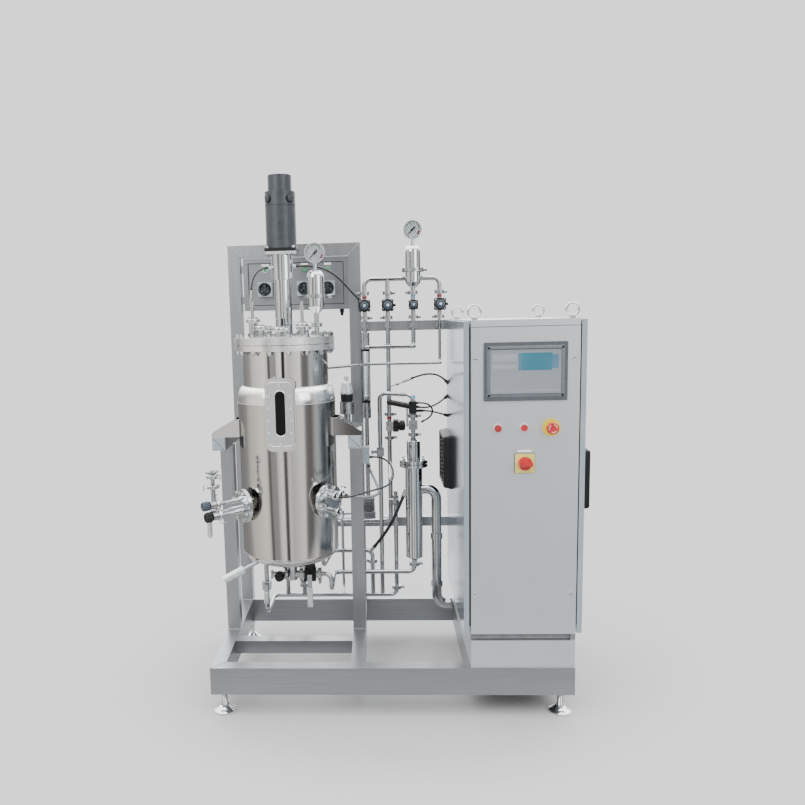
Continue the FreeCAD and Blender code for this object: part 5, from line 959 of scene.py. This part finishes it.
carried("button_ring", circle(0.0163, 56),
        [(0, -0.003), (0, 0.0004), (-0.0006, 0.001), (-0.0044, 0.001), (-0.005, -0.003)],
        (button_x, door_y - 0.004, row_z), front_turn, pale_ring, "door", loop=True)
carried("switch_plate_edge", rounded(0.0692, 0.0692, 0.005),
        [(0, 0), (0, 0.0030), (-0.0012, 0.0036), (-0.0030, 0.0036), (-0.0030, 0)],
        (cab_middle, door_y, switch_z), front_turn, bezel_grey, "door", loop=True)
carried("switch_label", rounded(0.046, 0.007, 0.0008, 3), [(0, -0.0002), (0, 0.0006), (-0.0003, 0.0008)],
        (cab_middle, door_y, switch_z + 0.0415), front_turn, label_white, "door")
# behind the door a moulded contact block covers each control's stem: a cup open towards the sheet, with
# a stepped back and two terminal screws
block_depth = 0.044
contact_block = [(-0.003, block_depth - 0.004), (-0.003, 0.0018), (0, 0.0018), (0, 0.030), (-0.002, 0.031),
                 (-0.002, block_depth - 0.0008), (-0.003, block_depth)]
for name, x, z in (("lamp", lamp_x, row_z), ("button", button_x, row_z), ("stop", stop_x, row_z),
                   ("switch", cab_middle, switch_z)):
    carried(name + "_contact_block", rounded(0.030, 0.042, 0.002), contact_block, (x, door_y, z), back_turn,
            black_plastic, "door")
    for side, step in (("upper", 0.012), ("lower", -0.012)):
        carried("%s_%s_terminal" % (name, side), circle(0.0036, 20),
                [(0, -0.001), (0, 0.0006), (-0.0006, 0.0011)], (x, door_y + block_depth, z + step), back_turn,
                bright_steel, "door")
sectors("stop_arrows", (stop_x, door_y - 0.032, row_z), front_turn,
        [(0.0118, 0.0142, a, a + 74, 10) for a in (10, 130, 250)], 0.0003, pale_ring, "stop_head")
# each slot is a black bar on its lock or cap, painted shade for the dark inside of the slot
slot, upper_z, lower_z = 0.0052, 1.266, 0.449
for name, body, x, z in (("upper_lock_slot", "upper_lock", cab_left + 0.014, upper_z),
                         ("lower_lock_slot", "lower_lock", cab_left + 0.014, lower_z),
                         ("upper_cap_slot", "door", cab_right - 0.018, upper_z),
                         ("lower_cap_slot", "door", cab_right - 0.018, lower_z)):
    bars(name, ((x - slot, door_y - 0.00215, z - 0.0011), (x + slot, door_y - 0.0015, z + 0.0011)),
         black_enamel, body)

# ---- cable glands ----------
# A tapered rubber boot, moulded in rings, on each end of the cables and hoses, so that they don't kink
# at their glands.
for name, diameter, length, skin, stiffness, route in cord_routes:
    for end, tip, neighbour in (("start", route[0], route[1]), ("end", route[-1], route[-2])):
        way = (Vector(neighbour) - Vector(tip)).normalized()
        side = way.orthogonal().normalized()
        carried("boot_%s_%s" % (name, end), circle(diameter / 2, 28),
                [(0.0016, -0.001), (0.0016, 0.002), (0.0009, 0.003), (0.0011, 0.006), (0.0006, 0.0066),
                 (0.0008, 0.009), (0.0003, 0.0096), (0.00015, 0.012)], at(*tip),
                Matrix((side, way.cross(side), way)).transposed(), black_rubber)

# ---- studio ----------
# A pale floor under a bright ceiling that leans over the object from behind, in a plain room. Its
# walls carry the light and dark upright bands that polished steel needs to show its roundness.
pale_floor = finish("pale floor", "aaaaaa", "a8a8a8", scale=2, rough=(0.8, 0.9), shine=0.2)
# the floor thins away to the plain room before its edges, over an oval round the object
half_wide, half_deep, oval_shift = 1.5, 1.275, 0.325
tree = pale_floor.node_tree
floor_out = next(node for node in tree.nodes if node.type == "OUTPUT_MATERIAL")
solid = floor_out.inputs["Surface"].links[0].from_socket
where = wired(tree, "TexCoord", {})
oval = wired(tree, "Mapping", {"Vector": where.outputs["Object"], "Scale": (1 / half_wide, 1 / half_deep, 1),
                               "Location": (0, -oval_shift / half_deep, 0)})
reach = wired(tree, "VectorMath", {0: oval.outputs["Vector"]}, operation="LENGTH")
fade = wired(tree, "MapRange", {"Value": reach.outputs["Value"], "From Min": 0.72, "From Max": 0.99},
             interpolation_type="SMOOTHSTEP")
bare = wired(tree, "BsdfTransparent", {})
thinned = wired(tree, "MixShader", {"Fac": fade.outputs["Result"], 1: solid, 2: bare.outputs["BSDF"]})
tree.links.new(thinned.outputs["Shader"], floor_out.inputs["Surface"])
floor_mesh = bpy.data.meshes.new("floor")
front, back = oval_shift - half_deep, oval_shift + half_deep
floor_mesh.from_pydata([(-half_wide, front, 0), (half_wide, front, 0), (half_wide, back, 0),
                        (-half_wide, back, 0)], [], [(0, 1, 2, 3)])
floor_mesh.materials.append(pale_floor)
floor = bpy.data.objects.new("floor", floor_mesh)
bpy.context.scene.collection.objects.link(floor)


def soft_box(name, place, target, size, watts):
    """A square area light at a place, turned to a target."""
    light = bpy.data.lights.new(name, "AREA")
    light.shape = "SQUARE"
    light.size = size
    light.energy = watts
    lamp = bpy.data.objects.new(name, light)
    lamp.location = place
    lamp.rotation_euler = (Vector(target) - Vector(place)).to_track_quat("-Z", "Y").to_euler()
    bpy.context.scene.collection.objects.link(lamp)


soft_box("key_light", (-2.6, -3.4, 3.4), (0, 0, 0.9), 2.2, 90)
soft_box("fill_light", (3.0, -3.0, 2.6), (0, 0, 0.9), 2.2, 50)

# brightness and warmth of the walls, by the angle from straight ahead of the object, to its right
walls = [(-180, 1.2, 0), (-166, 1.2, 0), (-160, 0.28, 0), (-124, 0.34, 0), (-104, 0.50, 0.3),
         (-94, 0.95, 1), (-52, 1.45, 1), (-44, 1.00, 0.8), (-41, 0.15, 0.3), (-37, 0.13, 0.3),
         (-34, 0.48, 0), (-21, 0.45, 0), (-18, 1.10, 0), (-6, 1.60, 0), (-3.5, 0.04, 0), (3.5, 0.04, 0),
         (6, 1.30, 0), (14, 0.85, 0), (44, 1.40, 0), (49, 0.35, 0), (53, 0.22, 0), (65, 0.20, 0),
         (71, 0.48, 0), (77, 0.72, 0), (96, 0.90, 0), (101, 0.30, 0), (110, 0.20, 0), (122, 0.09, 0),
         (160, 0.09, 0), (180, 0.5, 0)]
room = bpy.data.worlds.new("room")
room.use_nodes = True
tree = room.node_tree
tree.nodes.clear()
direction = wired(tree, "TexCoord", {}).outputs["Generated"]
axes = wired(tree, "SeparateXYZ", {"Vector": direction})
ahead = wired(tree, "Math", {0: axes.outputs["Y"], 1: -1.0}, operation="MULTIPLY")
azimuth = wired(tree, "Math", {0: axes.outputs["X"], 1: ahead.outputs["Value"]}, operation="ARCTAN2")
share = wired(tree, "MapRange", {"Value": azimuth.outputs["Value"], "From Min": -math.pi,
                                 "From Max": math.pi})
bands = wired(tree, "ValToRGB", {"Fac": share.outputs["Result"]})
ramp = bands.color_ramp
while len(ramp.elements) > 1:
    ramp.elements.remove(ramp.elements[-1])
for i, (degrees, light, warmth) in enumerate(walls):
    place = (degrees + 180) / 360
    stop = ramp.elements[0] if i == 0 else ramp.elements.new(place)
    stop.position = place
    stop.color = (light, light * (1 - 0.04 * warmth), light * (1 - 0.11 * warmth), 1)
walls_light = wired(tree, "Background", {"Color": bands.outputs["Color"]})
leaning = wired(tree, "VectorMath", {0: direction, 1: (0, 0.35, 1)}, operation="DOT_PRODUCT")
upward = wired(tree, "MapRange", {"Value": leaning.outputs["Value"], "From Min": 0.25, "From Max": 0.70})
ceiling = wired(tree, "Background", {"Color": (1, 1, 1, 1), "Strength": 4.6})
inside = wired(tree, "MixShader", {"Fac": upward.outputs["Result"], 1: walls_light.outputs["Background"],
                                   2: ceiling.outputs["Background"]})
plain = wired(tree, "Background", {"Color": (1, 1, 1, 1), "Strength": 1.5})
seen = wired(tree, "LightPath", {})
either = wired(tree, "MixShader", {"Fac": seen.outputs["Is Camera Ray"], 1: inside.outputs["Shader"],
                                   2: plain.outputs["Background"]})
wired(tree, "OutputWorld", {"Surface": either.outputs["Shader"]})
bpy.context.scene.world = room
